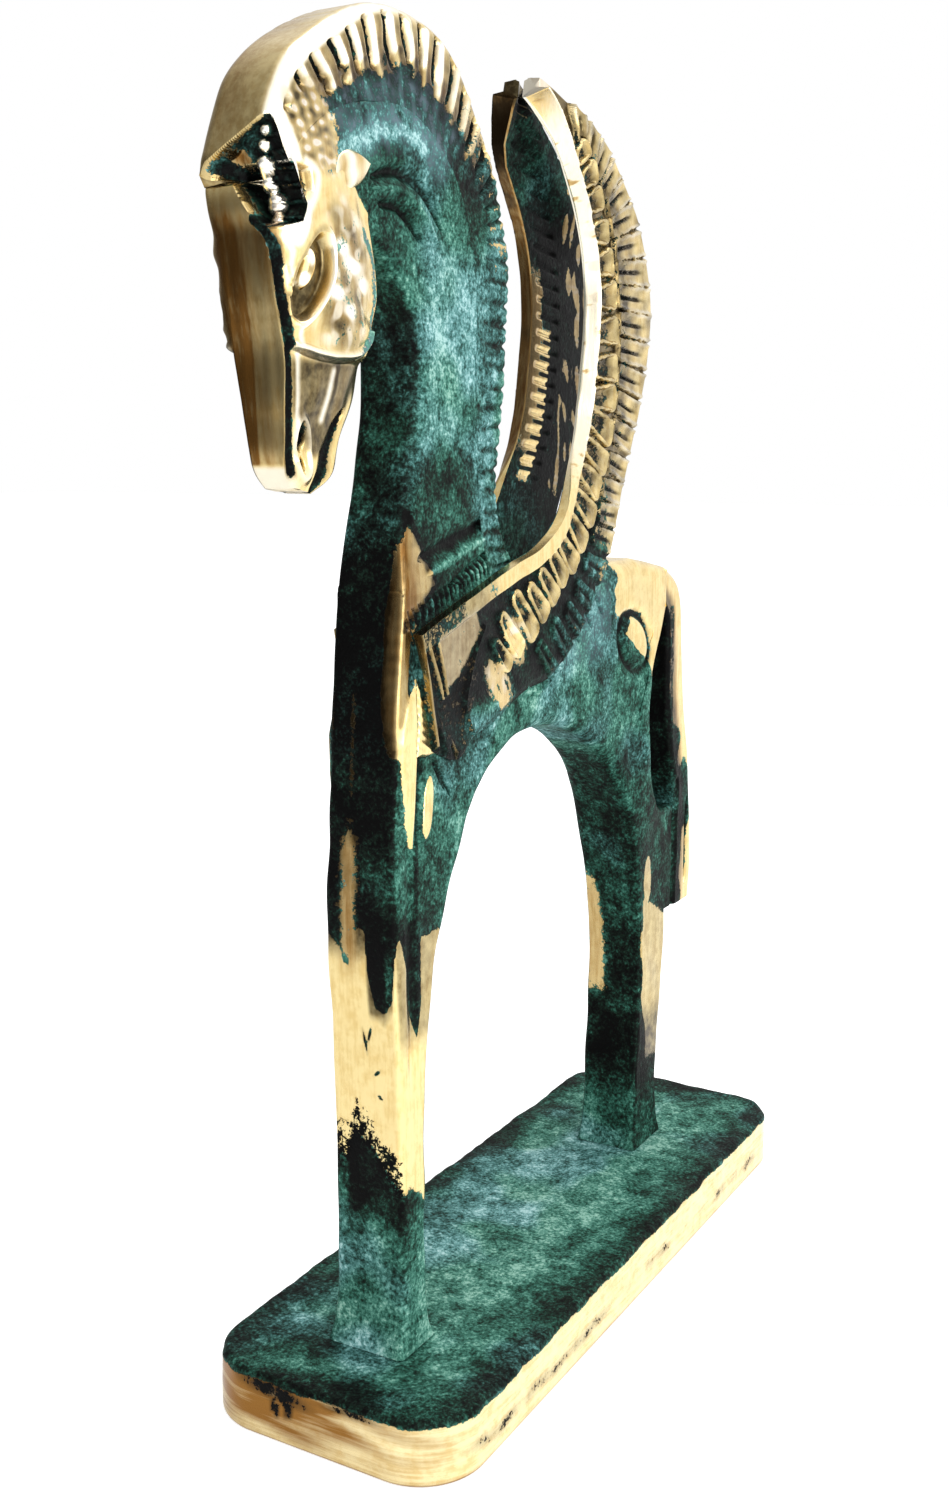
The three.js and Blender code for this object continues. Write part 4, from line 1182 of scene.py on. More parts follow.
    # painted highlights along the ridges of the crown's locks and along the near rim of the forelock
    white = (
        crown * np.clip(1.6 * reach * ridge - 0.3, 0, 1) * ease(0.4, 1.6, lockLength - fromEdge) * side
        * np.clip(0.95 + 0.35 * ripple(0, y, z, 2.4, 49), 0, 1)
    )
    white = white * (0.15 + 0.85 * late)
    rimWhite = ease(8.2, 9.2, place) * ease(start + 0.5, start - 0.1, fromEdge) * ease(2.5, 3.1, x)
    white = np.clip(np.maximum(np.maximum(white, rimWhite) * (1 - deep), shine), 0, 1)
    g["deep"] = deep
    mark(g, "wear", 0.9 * white)
    mark(g, "pale", white)
    unmark(g, "tan", white)
    unmark(g, "soot", np.maximum(rimWhite, 0.85 * white))
    pollMarks(g)
    # painted shade inside the pit, with its painted warm reflection
    unmark(g, "wear", deep * (1 - glow) * (1 - shine))
    mark(g, "soot", 0.95 * deep * (1 - glow))
    mark(g, "tan", 0.95 * glow)
    return makePiece("maneCasting", "mane", [g])


makeMane()


# Head
head = {
    "upper": [(-43, 131), (-49, 129.1), (-54.3, 125.8), (-57.6, 121.8), (-57.2, 117.5), (-56.4, 112.5), (-55.4, 107),
              (-54.8, 102), (-54.3, 97.6), (-52.9, 95.2)],
    "jaw": [(-43, 118.7), (-41.6, 115.6), (-41.2, 113), (-41.7, 110.3), (-42.2, 108.4), (-42.7, 106.6),
        (-43.2, 103.6),
            (-44.9, 100.2), (-46.7, 96.8), (-49.6, 94.6)],
    "frontHalf": [3.9, 3.9, 4.4, 4.0, 3.6, 3.8, 4.0, 3.5, 2.9, 2.1],
    "rearHalf": [3.9, 3.9, 3.8, 3.5, 3.5, 3.1, 2.8, 2.6, 2.6, 1.95],
    "swell": [0, 0.17, 0.6, 1.28, 1.65, 1.35, 0.6, 0.15, 0.05, 0],
    "noseRound": [0.02, 0.02, 0.02, 0.3, 1.2, 1.2, 1.2, 1.2, 1.1, 1.0],
    "eye": (-53.3, 114.1), "eyeRadii": (4.4, 1.85), "eyeTurn": 66,
}


def makeHead():
    p = head
    fine = np.linspace(0, 9, 109)
    upper, level = alongCurve(p["upper"], fine), lambda values: alongCurve(values, fine)
    upper[:36] = alongCurve(crestRoot, 9 + fine[:36])
    g = barGrid(upper, alongCurve(p["jaw"], fine), 420, level(p["frontHalf"]), level(p["rearHalf"]),
            level(p["swell"]),
                innerRound=level(p["noseRound"]), outerRound=0.9, sideCount=150, edgeCount=40)
    bodyMarks(g)
    roughen(g)
    x, y, z, side, inner = (g[word] for word in ("x", "y", "z", "side", "inner"))
    # jowl: a round plate with a rolled lower rim, and the muzzle set in below it
    rim = taperStroke(y, z, [(-57, 108.6), (-54, 107.8), (-49, 107.2), (-44.6, 107.9), (-42.6, 110)], 0.75)
    below = ease(0.5, -0.5, z - 107.2 - 0.03 * (y + 50) ** 2 * (y < -50)) * ease(-57.2, -56.0, y)
    lift(g, 0.45 * rim - 0.75 * below * ease(95.5, 99, z))
    # eye: ball inside two lids that meet in points; the rear lid is the stronger
    eye = oval(y, z, p["eye"], p["eyeRadii"], p["eyeTurn"])
    lids = np.exp(-((eye - 1.06) / 0.12) ** 2)
    rearward = ease(-0.5, 1.0, (y + 53.3) + 0.42 * (114.1 - z))
    rearLid = lids * rearward
    socket = 1 - ease(0.80, 1.0, eye)
    ballShape = oval(y, z, (-53.7, 114.9), (0.85, 1.95), -14)
    ball = 1 - ease(0.8, 1.05, ballShape)
    lift(g, 0.12 * lids + 0.45 * rearLid - 0.90 * socket + np.sqrt(np.clip(1 - ballShape ** 2, 0, 1)))
    # nostril ring with two small holes, and the mouth slit
    nostril = oval(y, z, (-52.3, 98.8), (1.35, 3.0), 9)
    ring = np.exp(-((nostril - 0.9) / 0.2) ** 2) * side
    hole = np.maximum(blot(y, z, (-52.5, 100.0), (0.6, 1.2), 5), 0.7 * blot(y, z, (-52.2, 97.4), (0.35, 0.6))) * side
    lift(g, 0.40 * ring - 0.8 * hole)
    mouth = taperStroke(y, z, [(-45.2, 102.6), (-47.1, 99.6), (-48.9, 96.9), (-50.6, 94.4)], 1.35) * side
    lift(g, -0.6 * mouth)
    # brow: a ridge from the forelock down to the cheek, with a three-cornered hollow behind it
    brow = stroke(y, z, [(-57.9, 127), (-56.4, 123.5), (-54.6, 119.6), (-55.6, 116.4)], 1.7) * side
    recess = (
        inside(y, z, [(-55.2, 124.0), (-54.9, 121.4), (-54.2, 119.8), (-53.0, 121.6), (-53.3, 123.4)], 0.3) * side
    )
    lift(g, 0.45 * brow - 0.95 * recess)
    lift(g, 0.06 * ripple(x, y, z, 2.6, 28) * ease(1.1, 1.5, eye))
    deep, shine, glow = carvePit(g)
    # colours: brass, dusty on the cheek, dark in the hollows and on the lower jaw
    hollow = np.clip(0.5 * recess + deep * (1 - glow) + hole + 1.1 * mouth, 0, 1)
    dusty = blot(y, z, (-48.4, 114.4), (5.0, 6.8)) * side * (1 - ease(1.5, 1.1, eye))
    lower = inside(y, z, [(-54.6, 102.6), (-50.8, 98.0), (-48.2, 98.4), (-47.6, 107.0), (-55.2, 107.0)], 0.6) * side
    jawDark = 0.9 * inside(y, z, [(-48.0, 99.0), (-43.4, 104.4), (-42.6, 107.0), (-48.2, 107.0)], 0.6) * side
    crownSide = [(-50.6, 128.4), (-48.6, 125.6), (-45.4, 122.8), (-43.6, 119.6), (-42.4, 117.6), (-40, 119), (-40, 134)]
    behind = side * inside(y, z, crownSide, 0.5)
    wear = (
        (1 - hollow) * (1 - 0.12 * socket * (1 - ball)) * (1 - 0.36 * dusty) * (1 - 0.15 * lower)
        * (1 - 0.2 * jawDark)
    )
    # painted shade in the eye socket and a painted shadow along the front lid
    socketDark = np.clip(socket * (1 - ball) + 0.6 * lids * (1 - rearward), 0, 1)
    soot = np.clip(hollow + 0.85 * socketDark + 0.8 * jawDark + 0.36 * dusty + 0.80 * lower + 0.34 * ball, 0, 1)
    # reflections on the flat of the nose: brown at the far side and along the near edge, yellow between
    nosePlane = inner * ease(122, 117, z) * ease(97.0, 97.6, z)
    across = x + 0.018 * (z - 108)
    low = ease(118, 110, z)
    bands = (
        0.80 * ease(-0.9, -1.3, across - 0.05 * (z - 100)) * ease(-3.5, -3.0, across) * low
        + 0.25 * ease(1.2, 0.2, across) * low
    )
    bands = (
        bands + (1 - low) * (0.75 * ease(-0.4, -1.6, across) + 0.45) + 0.22 + 0.15 * ripple(3 * x, y, 0.25 * z, 5, 29)
    )
    tan = np.clip(nosePlane * bands, 0, 1)
    fromCorner = np.interp(g["place"], range(109), level(p["frontHalf"])) - x
    edgeLine = (
        ease(95.6, 96.8, z) * ease(118.0, 116.5, z) * (x > 0) * np.exp(-((fromCorner - 0.62) / 0.50) ** 4)
        * (inner > 0.45)
    )
    edgeLine = np.maximum(
        edgeLine, stroke(x, z, [(1.2, 118.8), (2.2, 117.9), (2.9, 116.6), (3.2, 115)], 0.7, 0.4) * (inner > 0.45)
    )
    soot = np.maximum(soot, edgeLine)
    wear = wear * (1 - edgeLine)
    # painted highlights: along the near edge of the nose, on the rear lid, a streak on the muzzle, the nostril ring,
    # the jowl's rim, lumps on the cheek, two spots on the eyeball and the foot of the nose
    pale = (
        0.8 * ease(2.0, 1.3, g["along"]) * ease(0.9, 1.1, g["along"]) * ease(121, 118, z) * ease(97, 100, z) * (x > 0)
    )
    pale = most(
        pale,
        0.9 * np.clip(1.4 * rearLid - 0.2, 0, 1),
        0.9 * stroke(y, z, [(-48.3, 106.0), (-48.7, 103.8), (-49.2, 101.6)], 0.8) * side,
        0.5 * ring,
        0.7 * rim * side,
        0.6 * dusty * ease(0.0, 0.6, ripple(x, y, z, 1.6, 54)),
        0.9 * blot(y, z, (-54.2, 113.8), (0.55, 0.6)) * side
        + 0.9 * blot(y, z, (-53.5, 115.9), (0.4, 0.9), -15) * side,
        0.7 * inner * ease(97.4, 96.8, z) * (x > -2.5),
    )
    cheek = ripple(0, y, z, 2.3, 67)
    pale = (
        np.maximum(pale, dusty * ease(-0.1, 0.9, cheek)) * (1 - edgeLine) * (1 - 0.9 * lids * (1 - rearward))
        * (1 - 0.6 * socket * (1 - ball))
    )
    # dark lumps on the cheek, and painted dark reflections on the flat of the nose
    soot = most(
        soot,
        dusty * np.clip(0.40 - 0.36 * cheek, 0, 1),
        0.50 * nosePlane * blot(x, z, (1.0, 112), (1.0, 4), 0, 0.8),
        0.34 * nosePlane * (fromCorner > 1.3) * (1 + 0.6 * ripple(3 * x, y, 0.25 * z, 4, 46)),
    )
    tan = most(
        tan,
        0.25 * socket + 0.4 * recess,
        (0.34 + 0.2 * ripple(0, y, z, 3, 63)) * dusty + 0.16 * lower + 0.3 * jawDark,
        0.95 * glow,
    )
    own = {
        "wear": most(wear, shine, glow),
        "soot": soot * (1 - np.maximum(shine, 0.8 * pale)),
        "tan": np.clip(tan + 0.06, 0, 1) * (1 - pale),
        "pale": np.maximum(shine, pale),
        "bloom": 0.25 * dusty,
        "green": 0.4,
        "pit": 0.05,
    }
    for word, value in own.items():
        g[word] = np.clip(g[word] * behind + value * (1 - behind), 0, 1)
    g["deep"] = deep
    pollMarks(g)
    g["steel"] = g["steel"] * behind
    rearRim = stroke(y, z, [(-44.2, 119), (-42.2, 115.5), (-42.8, 110.3), (-44.9, 107.6)], 1.1) * side
    mark(g, "steel", rearRim)
    unmark(g, "wear", 0.62 * rearRim)

    # ears: pointed leaves laid back from the poll
    shells = [g]
    for turned in (1, -1):
        t = np.linspace(0, 1, 50)[:, None]
        around = np.linspace(0, 2 * np.pi, 32, endpoint=False)[None, :]
        wide = 0.15 + 1.7 * np.sin(np.pi * np.clip(t, 0, 1) ** 1.3) ** 0.7
        thick = 1.2 * (1 - 0.5 * t)
        fold = 0.5 * np.exp(-(np.cos(around) / 0.35) ** 2) * np.clip(np.sin(around), 0, 1) * (1 - t)
        earX = turned * (3.6 + 0.25 * t + thick * 0.8 * np.sin(around) - fold)
        rise = wide * np.cos(around)
        earY = -50.6 + 7.4 * t - rise * 0.38
        earZ = 121.9 + 3.4 * t + 0.5 * np.sin(np.pi * t) + rise * 0.92
        lumps = ripple(earX, earY, earZ, 2.2, 55)
        earX = earX + 0.10 * lumps * turned
        # painted highlights on the ear's lumps
        shells.append({
            "x": earX, "y": earY, "z": earZ, "wear": 1.0, "soot": 0.1,
            "tan": np.clip(0.2 - 0.3 * lumps, 0, 0.5),
            "pale": np.clip(0.4 + 0.5 * lumps, 0, 1) * ease(0, 0.3, t),
        })
    return makePiece("headCasting", "head", shells)


makeHead()


# Wings
wing = {
    "rim": [(-36.2, 80), (-30.5, 81.8), (-25.5, 83.3), (-20.5, 84.8), (-15.5, 86.2), (-10.5, 87.4), (-6, 89.5),
        (-3.4, 92),
            (-0.8, 96.5), (1.2, 100), (2.6, 104), (3.5, 108.5), (4.2, 112.8), (4.3, 117.5), (3.4, 122.2),
            (1.5, 126.3),
            (-0.5, 129.2), (-2.3, 131.6), (-3.6, 133.9), (-4.7, 136.4), (-5.7, 138.4)],
    "edge": [(-33.4, 67.3), (-28, 65.5), (-24.5, 67.5), (-19, 68.7), (-12.5, 71), (-5, 72.3), (2.5, 77), (9, 84.2),
             (12, 90), (14, 94.5), (16.6, 99.5), (19.4, 105.5), (21.2, 111), (21.8, 116.7), (20, 122.4),
             (16.8, 127.6),
             (13, 130.8), (8.6, 134.3), (3.7, 136.8), (-1.2, 138.8), (-5.2, 140.5)],
    "inside": [4.3] * 8 + [4.03, 3.77] + [3.5] * 8 + [3.0, 1.6, 0.3],
    "outside": [5.6] * 8 + [5.57, 5.53] + [5.5] * 8 + [5.3, 4.7, 3.6],
    # short feathers: root, tip and half width
    "petals": [
        (-20.8, 77.4, -17.2, 74.6, 1.0), (-19.0, 80.2, -14.4, 76.0, 1.2), (-15.6, 82.3, -11.0, 77.6, 1.3),
        (-12.2, 83.0, -8.2, 79.6, 1.25), (-9.4, 84.6, -5.6, 81.4, 1.2), (-6.8, 86.4, -3.4, 83.4, 1.25),
        (-4.8, 88.2, -0.6, 85.0, 1.35), (-2.4, 90.8, 1.8, 87.4, 1.45), (-0.6, 93.4, 4.2, 90.6, 1.5),
        (1.0, 96.4, 5.6, 94.0, 1.55), (2.3, 99.4, 7.6, 97.0, 1.6), (3.2, 102.8, 9.0, 100.8, 1.7),
        (4.2, 105.2, 9.8, 105.2, 1.65), (4.8, 108.6, 10.2, 109.0, 1.7), (5.0, 112.9, 10.2, 113.4, 1.7),
        (4.9, 116.9, 9.6, 117.6, 1.65), (4.3, 120.6, 8.4, 121.4, 1.6), (3.4, 124.2, 7.0, 124.8, 1.5),
        (2.0, 127.4, 5.4, 128.6, 1.4), (0.6, 129.8, 3.6, 131.4, 1.3), (-1.0, 132.0, 1.6, 133.8, 1.1),
    ],
    # long feathers: root, tip and half width
    "quills": [
        (-9.4, 76.0, -5.6, 72.6, 1.0), (-5.6, 78.2, -1.6, 74.4, 1.1), (-2.0, 79.6, 2.0, 76.6, 1.2),
        (0.6, 82.2, 5.4, 79.6, 1.25), (3.0, 85.2, 8.4, 83.4, 1.35), (4.8, 88.4, 11.0, 87.0, 1.4),
        (6.4, 91.2, 12.4, 90.4, 1.4),
        (7.6, 94.2, 13.6, 93.0, 1.45), (9.2, 97.4, 15.2, 95.8, 1.5), (10.4, 101.3, 17.0, 99.4, 1.6),
        (11.2, 104.8, 18.6, 103.0, 1.6), (11.6, 108.0, 20.0, 106.8, 1.6), (11.8, 111.2, 21.0, 110.6, 1.6),
        (11.7, 114.4, 21.4, 114.2, 1.6), (11.4, 117.5, 21.4, 117.6, 1.6), (10.8, 120.4, 20.6, 121.2, 1.55),
        (10.2, 123.0, 18.6, 124.8, 1.5), (9.0, 125.6, 16.4, 128.2, 1.5), (7.8, 127.8, 13.6, 131.0, 1.45),
        (6.2, 129.6, 10.6, 133.2, 1.4), (4.4, 131.4, 7.4, 135.2, 1.35), (2.6, 132.8, 4.2, 136.6, 1.3),
        (0.4, 134.2, 0.8, 138.2, 1.2),
    ],
    "patch": [(-24.9, 82.0), (-33.2, 79.4), (-31.0, 73.4), (-28.4, 74.8), (-23.8, 79.4)],
}


def feathers(y, z, plumes, rootShare, round_):
    # Each feather is a bar that grows wider from root to tip, with rounded corners. For every point: how
    # far it lies outside the nearest one, in mm, the share along it, and the offset from its middle line.
    best, share, offset = np.full(y.shape, 9.0), np.zeros(y.shape), np.zeros(y.shape)
    for y0, z0, y1, z1, half in plumes:
        length = np.hypot(y1 - y0, z1 - z0)
        dy, dz = (y1 - y0) / length, (z1 - z0) / length
        run, across = (y - y0) * dy + (z - z0) * dz, (z - z0) * dy - (y - y0) * dz
        wide = half * (rootShare + (1 - rootShare) * np.clip(run / length, 0, 1))
        beside = np.abs(across) - wide + round_
        beyond = np.abs(run - length / 2 + 0.3) - length / 2 - 0.3 + round_
        outside = np.hypot(np.maximum(beside, 0), np.maximum(beyond, 0)) + np.minimum(np.maximum(beside, beyond), 0)
        closer = outside - round_ < best
        share = np.where(closer, run / length, share)
        offset = np.where(closer, across, offset)
        best = np.where(closer, outside - round_, best)
    return best, share, offset


def makeWing(name, node, turned):
    p = wing
    rows = 620
    places = evenPlaces(p["rim"], p["edge"], rows)
    a, b = alongCurve(p["rim"], places), alongCurve(p["edge"], places)
    level = lambda values: np.interp(places, range(21), values)[:, None]
    xIn, xOut = level(p["inside"]), level(p["outside"])
    span = np.hypot(*(b - a).T)[:, None]
    away = (b - a) / span
    # across the wing: out along the outer face, round the feather edge, back along the inner face and up the rim
    outerFace = np.r_[np.linspace(0, 0.12, 17)[:-1], np.linspace(0.12, 1, 110)]
    innerFace = np.linspace(1, 0, 50)
    v = np.r_[outerFace, 1, 1, innerFace, np.zeros(5)][None, :]
    onOuter = np.r_[np.ones(len(outerFace)), 0.66, 0.33, np.zeros(50), np.linspace(0, 1, 7)[1:-1]][None, :]
    place = places[:, None] + 0 * v
    free = ease(7.0, 9.0, place)
    y = a[:, :1] + away[:, :1] * span * v
    z = a[:, 1:] + away[:, 1:] * span * v
    fromRim = v * span
    rimWidth = 1.9 - 1.1 * ease(6.0, 9.0, place)
    bead = ease(1.12, 0.98, fromRim / rimWidth)
    shoulder = ease(3.6, 2.2, place)

    gap1, share1, offset1 = feathers(y, z, p["petals"], 0.6, 0.8)
    gap2, share2, offset2 = feathers(y, z, p["quills"], 0.8, 0.45)
    uneven = 0.12 * ripple(0, y, z, 1.6, 52)
    gap1, gap2 = gap1 + uneven - 0.32, gap2 + uneven - 0.22
    petal, quill = ease(0.14, -0.14, gap1), ease(0.14, -0.14, gap2) * ease(0.0, 0.25, gap1)
    outline = np.exp(-((gap1 + 0.30) / 0.20) ** 2)
    hollow = ease(-0.50, -0.75, gap1) * ease(0.92, 0.55, share1)
    vein = np.exp(-(offset1 / 0.22) ** 2) * hollow
    quillLine = np.exp(-((gap2 + 0.28) / 0.20) ** 2) * quill
    quillCut = np.exp(-(offset2 / 0.24) ** 2) * ease(0.80, 0.5, share2) * ease(-0.35, -0.6, gap2)

    thick = xOut - xIn
    bevel = np.clip(fromRim / 0.75, 0, 1)
    top = (
        0.60 + 0.40 * bead * (1 - free * (1 - bevel)) - 0.50 * bead * free * (1 - bevel)
        + 0.25 * shoulder * (1 - bead)
    )
    top = (
        top
        + (1 - bead) * (0.28 * petal + 0.14 * outline - 0.22 * hollow + 0.14 * vein)
        + (1 - bead) * (0.22 * quill + 0.10 * quillLine - 0.22 * quillCut)
    )
    ridges = (
        stroke(y, z, [(-34.8, 78.8), (-33.4, 75.6), (-32.2, 73)], 0.55)
        + stroke(y, z, [(-33.0, 78.8), (-31.3, 73.3)], 0.45)
    )
    arris = stroke(y, z, [(-36.4, 80), (-35.2, 76), (-34.0, 71), (-33.2, 67.6)], 0.7)
    loop = taperStroke(y, z, [(-23.2, 79.9), (-25.1, 77.5), (-25.9, 75.7), (-27.4, 71.6), (-25.6, 67.9)], 0.6)
    shoulderCut = (
        taperStroke(y, z, [(-30.2, 67.6), (-27.0, 64.2)], 0.6) + taperStroke(y, z, [(-33.2, 70), (-31.0, 66)], 0.6)
    )
    between = stroke(y, z, [(-33.9, 78.6), (-32.0, 73.2)], 0.35)
    top = top + (0.30 * ridges + 0.25 * arris + 0.30 * loop - 0.40 * shoulderCut - 0.35 * between) * (1 - bead)
    thin = ease(1.0, 0.93, v)
    outerX = xIn + thick * np.clip(top, 0.06, 1.2) * (0.45 + 0.55 * thin)
    outerX = outerX + 0.05 * ripple(0, y, z, 4, 51)
    # inner face: small feathers behind the rim
    barb = (z * 0.5 + 0.06 * y) * 1.0
    barbCell = np.abs(barb - np.floor(barb) - 0.5)
    barbs = ease(0.28, 0.42, barbCell) * ease(1.3, 1.8, fromRim) * ease(7.5, 6.0, fromRim) * free
    swell = ease(0.30, 0.80, v) * ease(13.5, 15.5, place) * ease(19.7, 18.9, place)
    innerX = np.maximum(xIn + 0.14 * thick * barbs - 1.1 * swell, 0.25)
    outerX = np.where((v == 0), innerX + 0.12 * thick * free + (outerX - innerX) * (1 - free), outerX)
    x = innerX + (outerX - innerX) * onOuter
    # the feather edge steps in between the tips of the long feathers
    notch = ease(0.86, 1.0, v) * ease(0.0, 0.7, gap2) * ease(5.0, 6.0, place) * ease(18.6, 17.6, place)
    y = y - 0.8 * notch * away[:, :1]
    z = z - 0.8 * notch * away[:, 1:]

    face = np.where(onOuter > 0.9, 1.0, 0.0)
    rimFace = ((v == 0) & (onOuter > 0.05) & (onOuter < 0.95)) * 1.0
    lowPart = ease(8.5, 6.2, place)
    gold = np.maximum(
        bead, petal * (0.62 + 0.38 * np.maximum(outline, ease(0.55, 0.85, share1))) * (1 - 0.25 * hollow)
    )
    gold = np.maximum(
        gold, quill * (0.66 + 0.34 * ease(0.15, 0.6, share2)) * (1 - 0.5 * quillCut) * (1 - 0.75 * lowPart)
    )
    gold = np.maximum(gold * (1 - shoulder), shoulder * np.clip(0.95 * bead * ease(1.2, 1.9, place), 0, 1))
    patch = inside(y, z, p["patch"], 0.5)
    gold = np.maximum(
        gold, np.maximum(0.74 * patch, np.maximum(ridges, 0.85 * arris * ease(66, 69, z))) * (1 - between)
    )
    clump = blot(y, z, (-19.4, 72.8), (4.2, 2.1), -38, 0.5) + blot(y, z, (-15.6, 77.4), (3.4, 2.2), -45, 0.5)
    gold = most(
        gold,
        np.clip(clump, 0, 1) * np.clip(0.95 + 0.6 * ripple(0, 1.8 * (y + z), 0.4 * (y - z), 2.4, 60), 0, 1),
        0.44 * shoulder * bead,
        0.7 * taperStroke(y, z, [(-30.2, 68.2), (-27.2, 64.8)], 0.4),
    )
    ground = (1 - bead) * (1 - petal) * (1 - quill)
    gold = np.maximum(gold, 0.70 * (1 - lowPart) * ground + 0.36 * shoulder * ease(-22, -26, y))
    soot = 0.80 * ground + 0.34 * hollow + 0.9 * quillCut * quill + 0.25 * shoulder - 0.5 * patch
    soot = soot + 0.30 * quill * ease(0.4, 0.1, share2) * (1 - lowPart)
    dull = ripple(0, y, z, 2.7, 68)
    soot = soot + (petal + quill) * (0.44 + 0.20 * dull) * ease(2.0, 3.4, place)
    soot = soot * (1 - 0.8 * np.clip(clump, 0, 1))
    soot = np.clip(soot - 0.5 * (ridges + arris), 0, 1)
    soot = soot * (1 - 0.6 * blot(y, z, (-21, 68.5), (7.5, 3)))
    bloom = 0.4 * blot(y, z, (-21, 68.5), (7.5, 3)) + 0.25 * lowPart * quill
    tan = 0.05 + 0.22 * hollow + 0.14 * quill * ease(0.7, 0.2, share2) + 0.04 * patch + 0.25 * ground
    soot = soot * (1 - bead) + 0.6 * bead * shoulder
    lead = 0.9 * ease(4.0, 3.2, place)
    soot = np.maximum(soot, 0.55 * patch * ease(0.35, 1.0, ripple(0, y, z, 1.7, 70)))
    # painted sheen on the brass patch and the clump of the shoulder
    paintedSheen = 0.25 * patch * (1 - between) + 0.6 * np.clip(clump, 0, 1) * ease(0, 0.8, dull)
    specks = ease(0.8, 1.1, ripple(0, 2.2 * y, 1.2 * z, 1.6, 64)) * free * bead
    tan = np.maximum(tan, 0.6 * specks)
    # painted highlights along the outer edge of the rim and on the raised outlines of the feathers
    pale = (
        0.65 * ease(1.1, 0.8, fromRim) * free * face * (1 - specks)
        + 0.60 * (quillLine + outline * petal) * (1 - lowPart) * ease(0.45, 0.8, v)
    )
    # painted shade: the far wing's rim is made browner and darker, as it turns away from the lamps
    if turned < 0:
        tan = np.maximum(tan, 0.85 * bead * free)
        soot = np.maximum(
            soot, bead * free * (0.25 + 0.75 * ease(15, 18, place) + 0.4 * ease(0.3, 0.9, ripple(0, y, z, 6, 53)))
        )
        pale = pale * (1 - bead)
    # inner face: dark, painted as shade on the faces that look towards the other wing, with teal towards the tip; brass
    # squares and an amber margin behind the rim low down
    grainy = ripple(0, 1.4 * y, 0.25 * z, 1.4, 56)
    margin = ease(3.2, 2.4, fromRim + 0.4 * grainy) * ease(8, 9.5, place) * ease(14.4, 13.0, place)
    squares = (
        ease(7.6, 8.6, place) * ease(12.6, 12.0, place) * ease(5.4, 4.9, fromRim) * ease(2.0, 2.6, fromRim)
        * ease(0.08, 0.18, barbCell)
    )
    olive = (
        ease(0.45, 0.6, v) * ease(0.0, 0.7, grainy + ripple(0, y, z, 5, 57)) * ease(8, 9, place) * ease(17, 15, place)
    )
    strokes = 0.6 * ease(18.2, 18.8, place) * ease(0.35, 0.15, np.abs(np.sin(z * 4.2 + 0.5 * y)))
    innerWear = np.maximum(np.maximum(np.maximum(margin * 0.8, squares), strokes), 0.8 * olive)
    innerShade = 0.95 - 0.55 * ease(14.6, 16.0, place) * ease(19.5, 18.5, place) - 0.65 * ease(9, 7, place)
    innerShade = innerShade * (1 - np.clip(0.75 * margin + squares, 0, 1)) * (1 - 0.4 * olive)
    wear = np.maximum(innerWear * (1 - face) * (1 - rimFace) + gold * face, rimFace)
    # painted highlight on the near wing's tip, painted shade on the far wing's tip
    tip = ease(19.3, 19.7, place)
    wear = np.maximum(wear, tip)
    pale = np.maximum(pale, 0.8 * tip * (turned > 0))
    # painted shade on the far wing's rim face; the near wing's rim face gets a painted highlight below
    rimTan = 0.75 * (turned < 0) * ease(8, 9.5, place)
    pale = np.maximum(pale, paintedSheen * face)
    shell = {
        "x": turned * x, "y": y, "z": z, "wear": np.clip(wear, 0, 1),
        "soot": np.clip((innerShade * (1 - face) * (1 - rimFace) + soot * face) * (1 - tip) + lead * rimFace
            + 0.85 * tip * (turned < 0), 0, 1),
        "bloom": bloom * face,
        "tan": (0.55 * margin * (1 - squares) + 0.20 * squares + 0.5 * olive) * (1 - face) * (1 - rimFace)
        + tan * face + rimTan * rimFace,
        "pit": 0.05 + 0.1 * (1 - face), "green": 0.3 * (1 - face),
        "pale": np.clip(pale + 0.8 * free * rimFace * (turned > 0), 0, 1),
    }
    return makePiece(name, node, [shell])


makeWing("leftWing", "left_wing", 1)
makeWing("rightWing", "right_wing", -1)
print("statue made")


# Floor, background and lamps
studio = {
    "floorRadius": 3.0,
    "floorColour": (0.86, 0.87, 0.88, 1),
    "floorLift": 0.56,
    "worldLevel": 1.35,
    "darkSide": 0.09,
    "lamps": [
        # name, place, aim, size, power in watts
        ("panelLamp", (0.47, -0.46, 0.26), (0, 0, 0.08), 0.50, 2.2),
        ("topLamp", (0.10, 0.20, 0.80), (0, 0, 0.07), 0.45, 1.0),
    ],
}


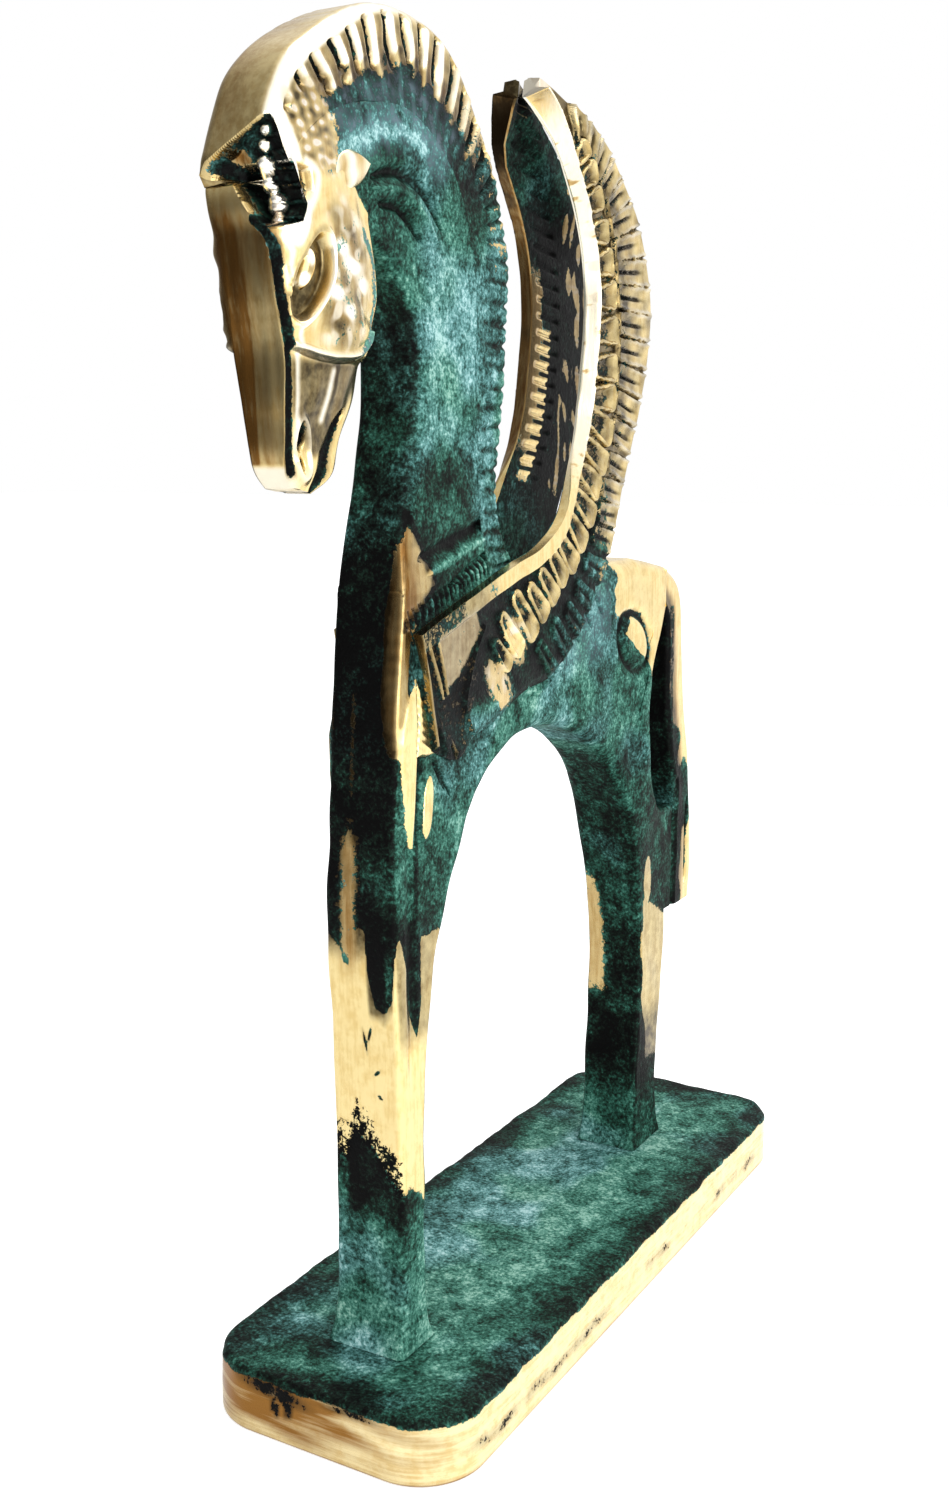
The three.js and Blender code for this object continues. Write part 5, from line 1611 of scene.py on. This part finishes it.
def makeFloor():
    radius = studio["floorRadius"]
    mesh = bpy.data.meshes.new("paleFloor")
    corners = [(-radius, -radius, 0), (radius, -radius, 0), (radius, radius, 0), (-radius, radius, 0)]
    mesh.from_pydata(corners, [], [(0, 1, 2, 3)])
    floor = bpy.data.objects.new("paleFloor", mesh)
    bpy.context.scene.collection.objects.link(floor)
    material = bpy.data.materials.new("paleFloor")
    material.use_nodes = True
    net = Net(material.node_tree)
    rays = net.node("ShaderNodeLightPath", out="Is Camera Ray")
    path = rays.socket.node
    place = net.node("ShaderNodeTexCoord", out="Object")
    split = net.node("ShaderNodeSeparateXYZ", None, {0: place}).socket.node
    alongX = Wire(net, split.outputs[0])
    mirrored = Wire(net, path.outputs["Is Glossy Ray"])
    extra = mirrored * (0.10 + 0.62 * net.between(-0.07, 0.05, alongX))
    seen = rays.most(Wire(net, path.outputs["Is Transmission Ray"])) + extra
    paint = net.node("ShaderNodeBsdfDiffuse", None, {"Color": studio["floorColour"]})
    glow = net.node("ShaderNodeEmission", None, {"Color": (1, 1, 1, 1), "Strength": seen * studio["floorLift"]})
    both = net.node("ShaderNodeAddShader", None, {0: paint, 1: glow})
    # metal that mirrors the far left of the room sees it darker
    dim = net.node("ShaderNodeBsdfDiffuse", None, {"Color": (0.08, 0.08, 0.08, 1)})
    share = mirrored * net.between(-0.16, -0.42, alongX) * 0.92
    surface = net.node("ShaderNodeMixShader", None, {0: share, 1: both, 2: dim})
    net.node("ShaderNodeOutputMaterial", None, {"Surface": surface})
    mesh.materials.append(material)


def makeWorld():
    world = bpy.data.worlds.new("softStudio")
    world.use_nodes = True
    bpy.context.scene.world = world
    net = Net(world.node_tree)
    rays = net.node("ShaderNodeLightPath", out="Is Camera Ray")
    way = net.node("ShaderNodeTexCoord", out="Generated")
    parts = net.node("ShaderNodeSeparateXYZ", None, {0: way})
    split = parts.socket.node
    alongX, alongY, alongZ = (Wire(net, split.outputs[i]) for i in range(3))
    bright = net.between(-0.95, 0.8, alongX * 0.80 + alongY * 0.35 + alongZ * 0.45)
    level = studio["darkSide"] + bright * (1 - studio["darkSide"])
    strength = rays + (1 - rays) * level * studio["worldLevel"]
    glow = net.node("ShaderNodeBackground", None, {"Color": (1, 1, 1, 1), "Strength": strength})
    net.node("ShaderNodeOutputWorld", None, {"Surface": glow})


def makeLamps():
    for name, place, aim, size, power in studio["lamps"]:
        data = bpy.data.lights.new(name, "AREA")
        data.size = size
        data.energy = power
        lamp = bpy.data.objects.new(name, data)
        lamp.location = place
        lamp.rotation_euler = (Vector(aim) - Vector(place)).to_track_quat("-Z", "Y").to_euler()
        bpy.context.scene.collection.objects.link(lamp)


makeFloor()
makeWorld()
makeLamps()
bpy.context.scene.view_settings.view_transform = "Standard"
print("studio set")
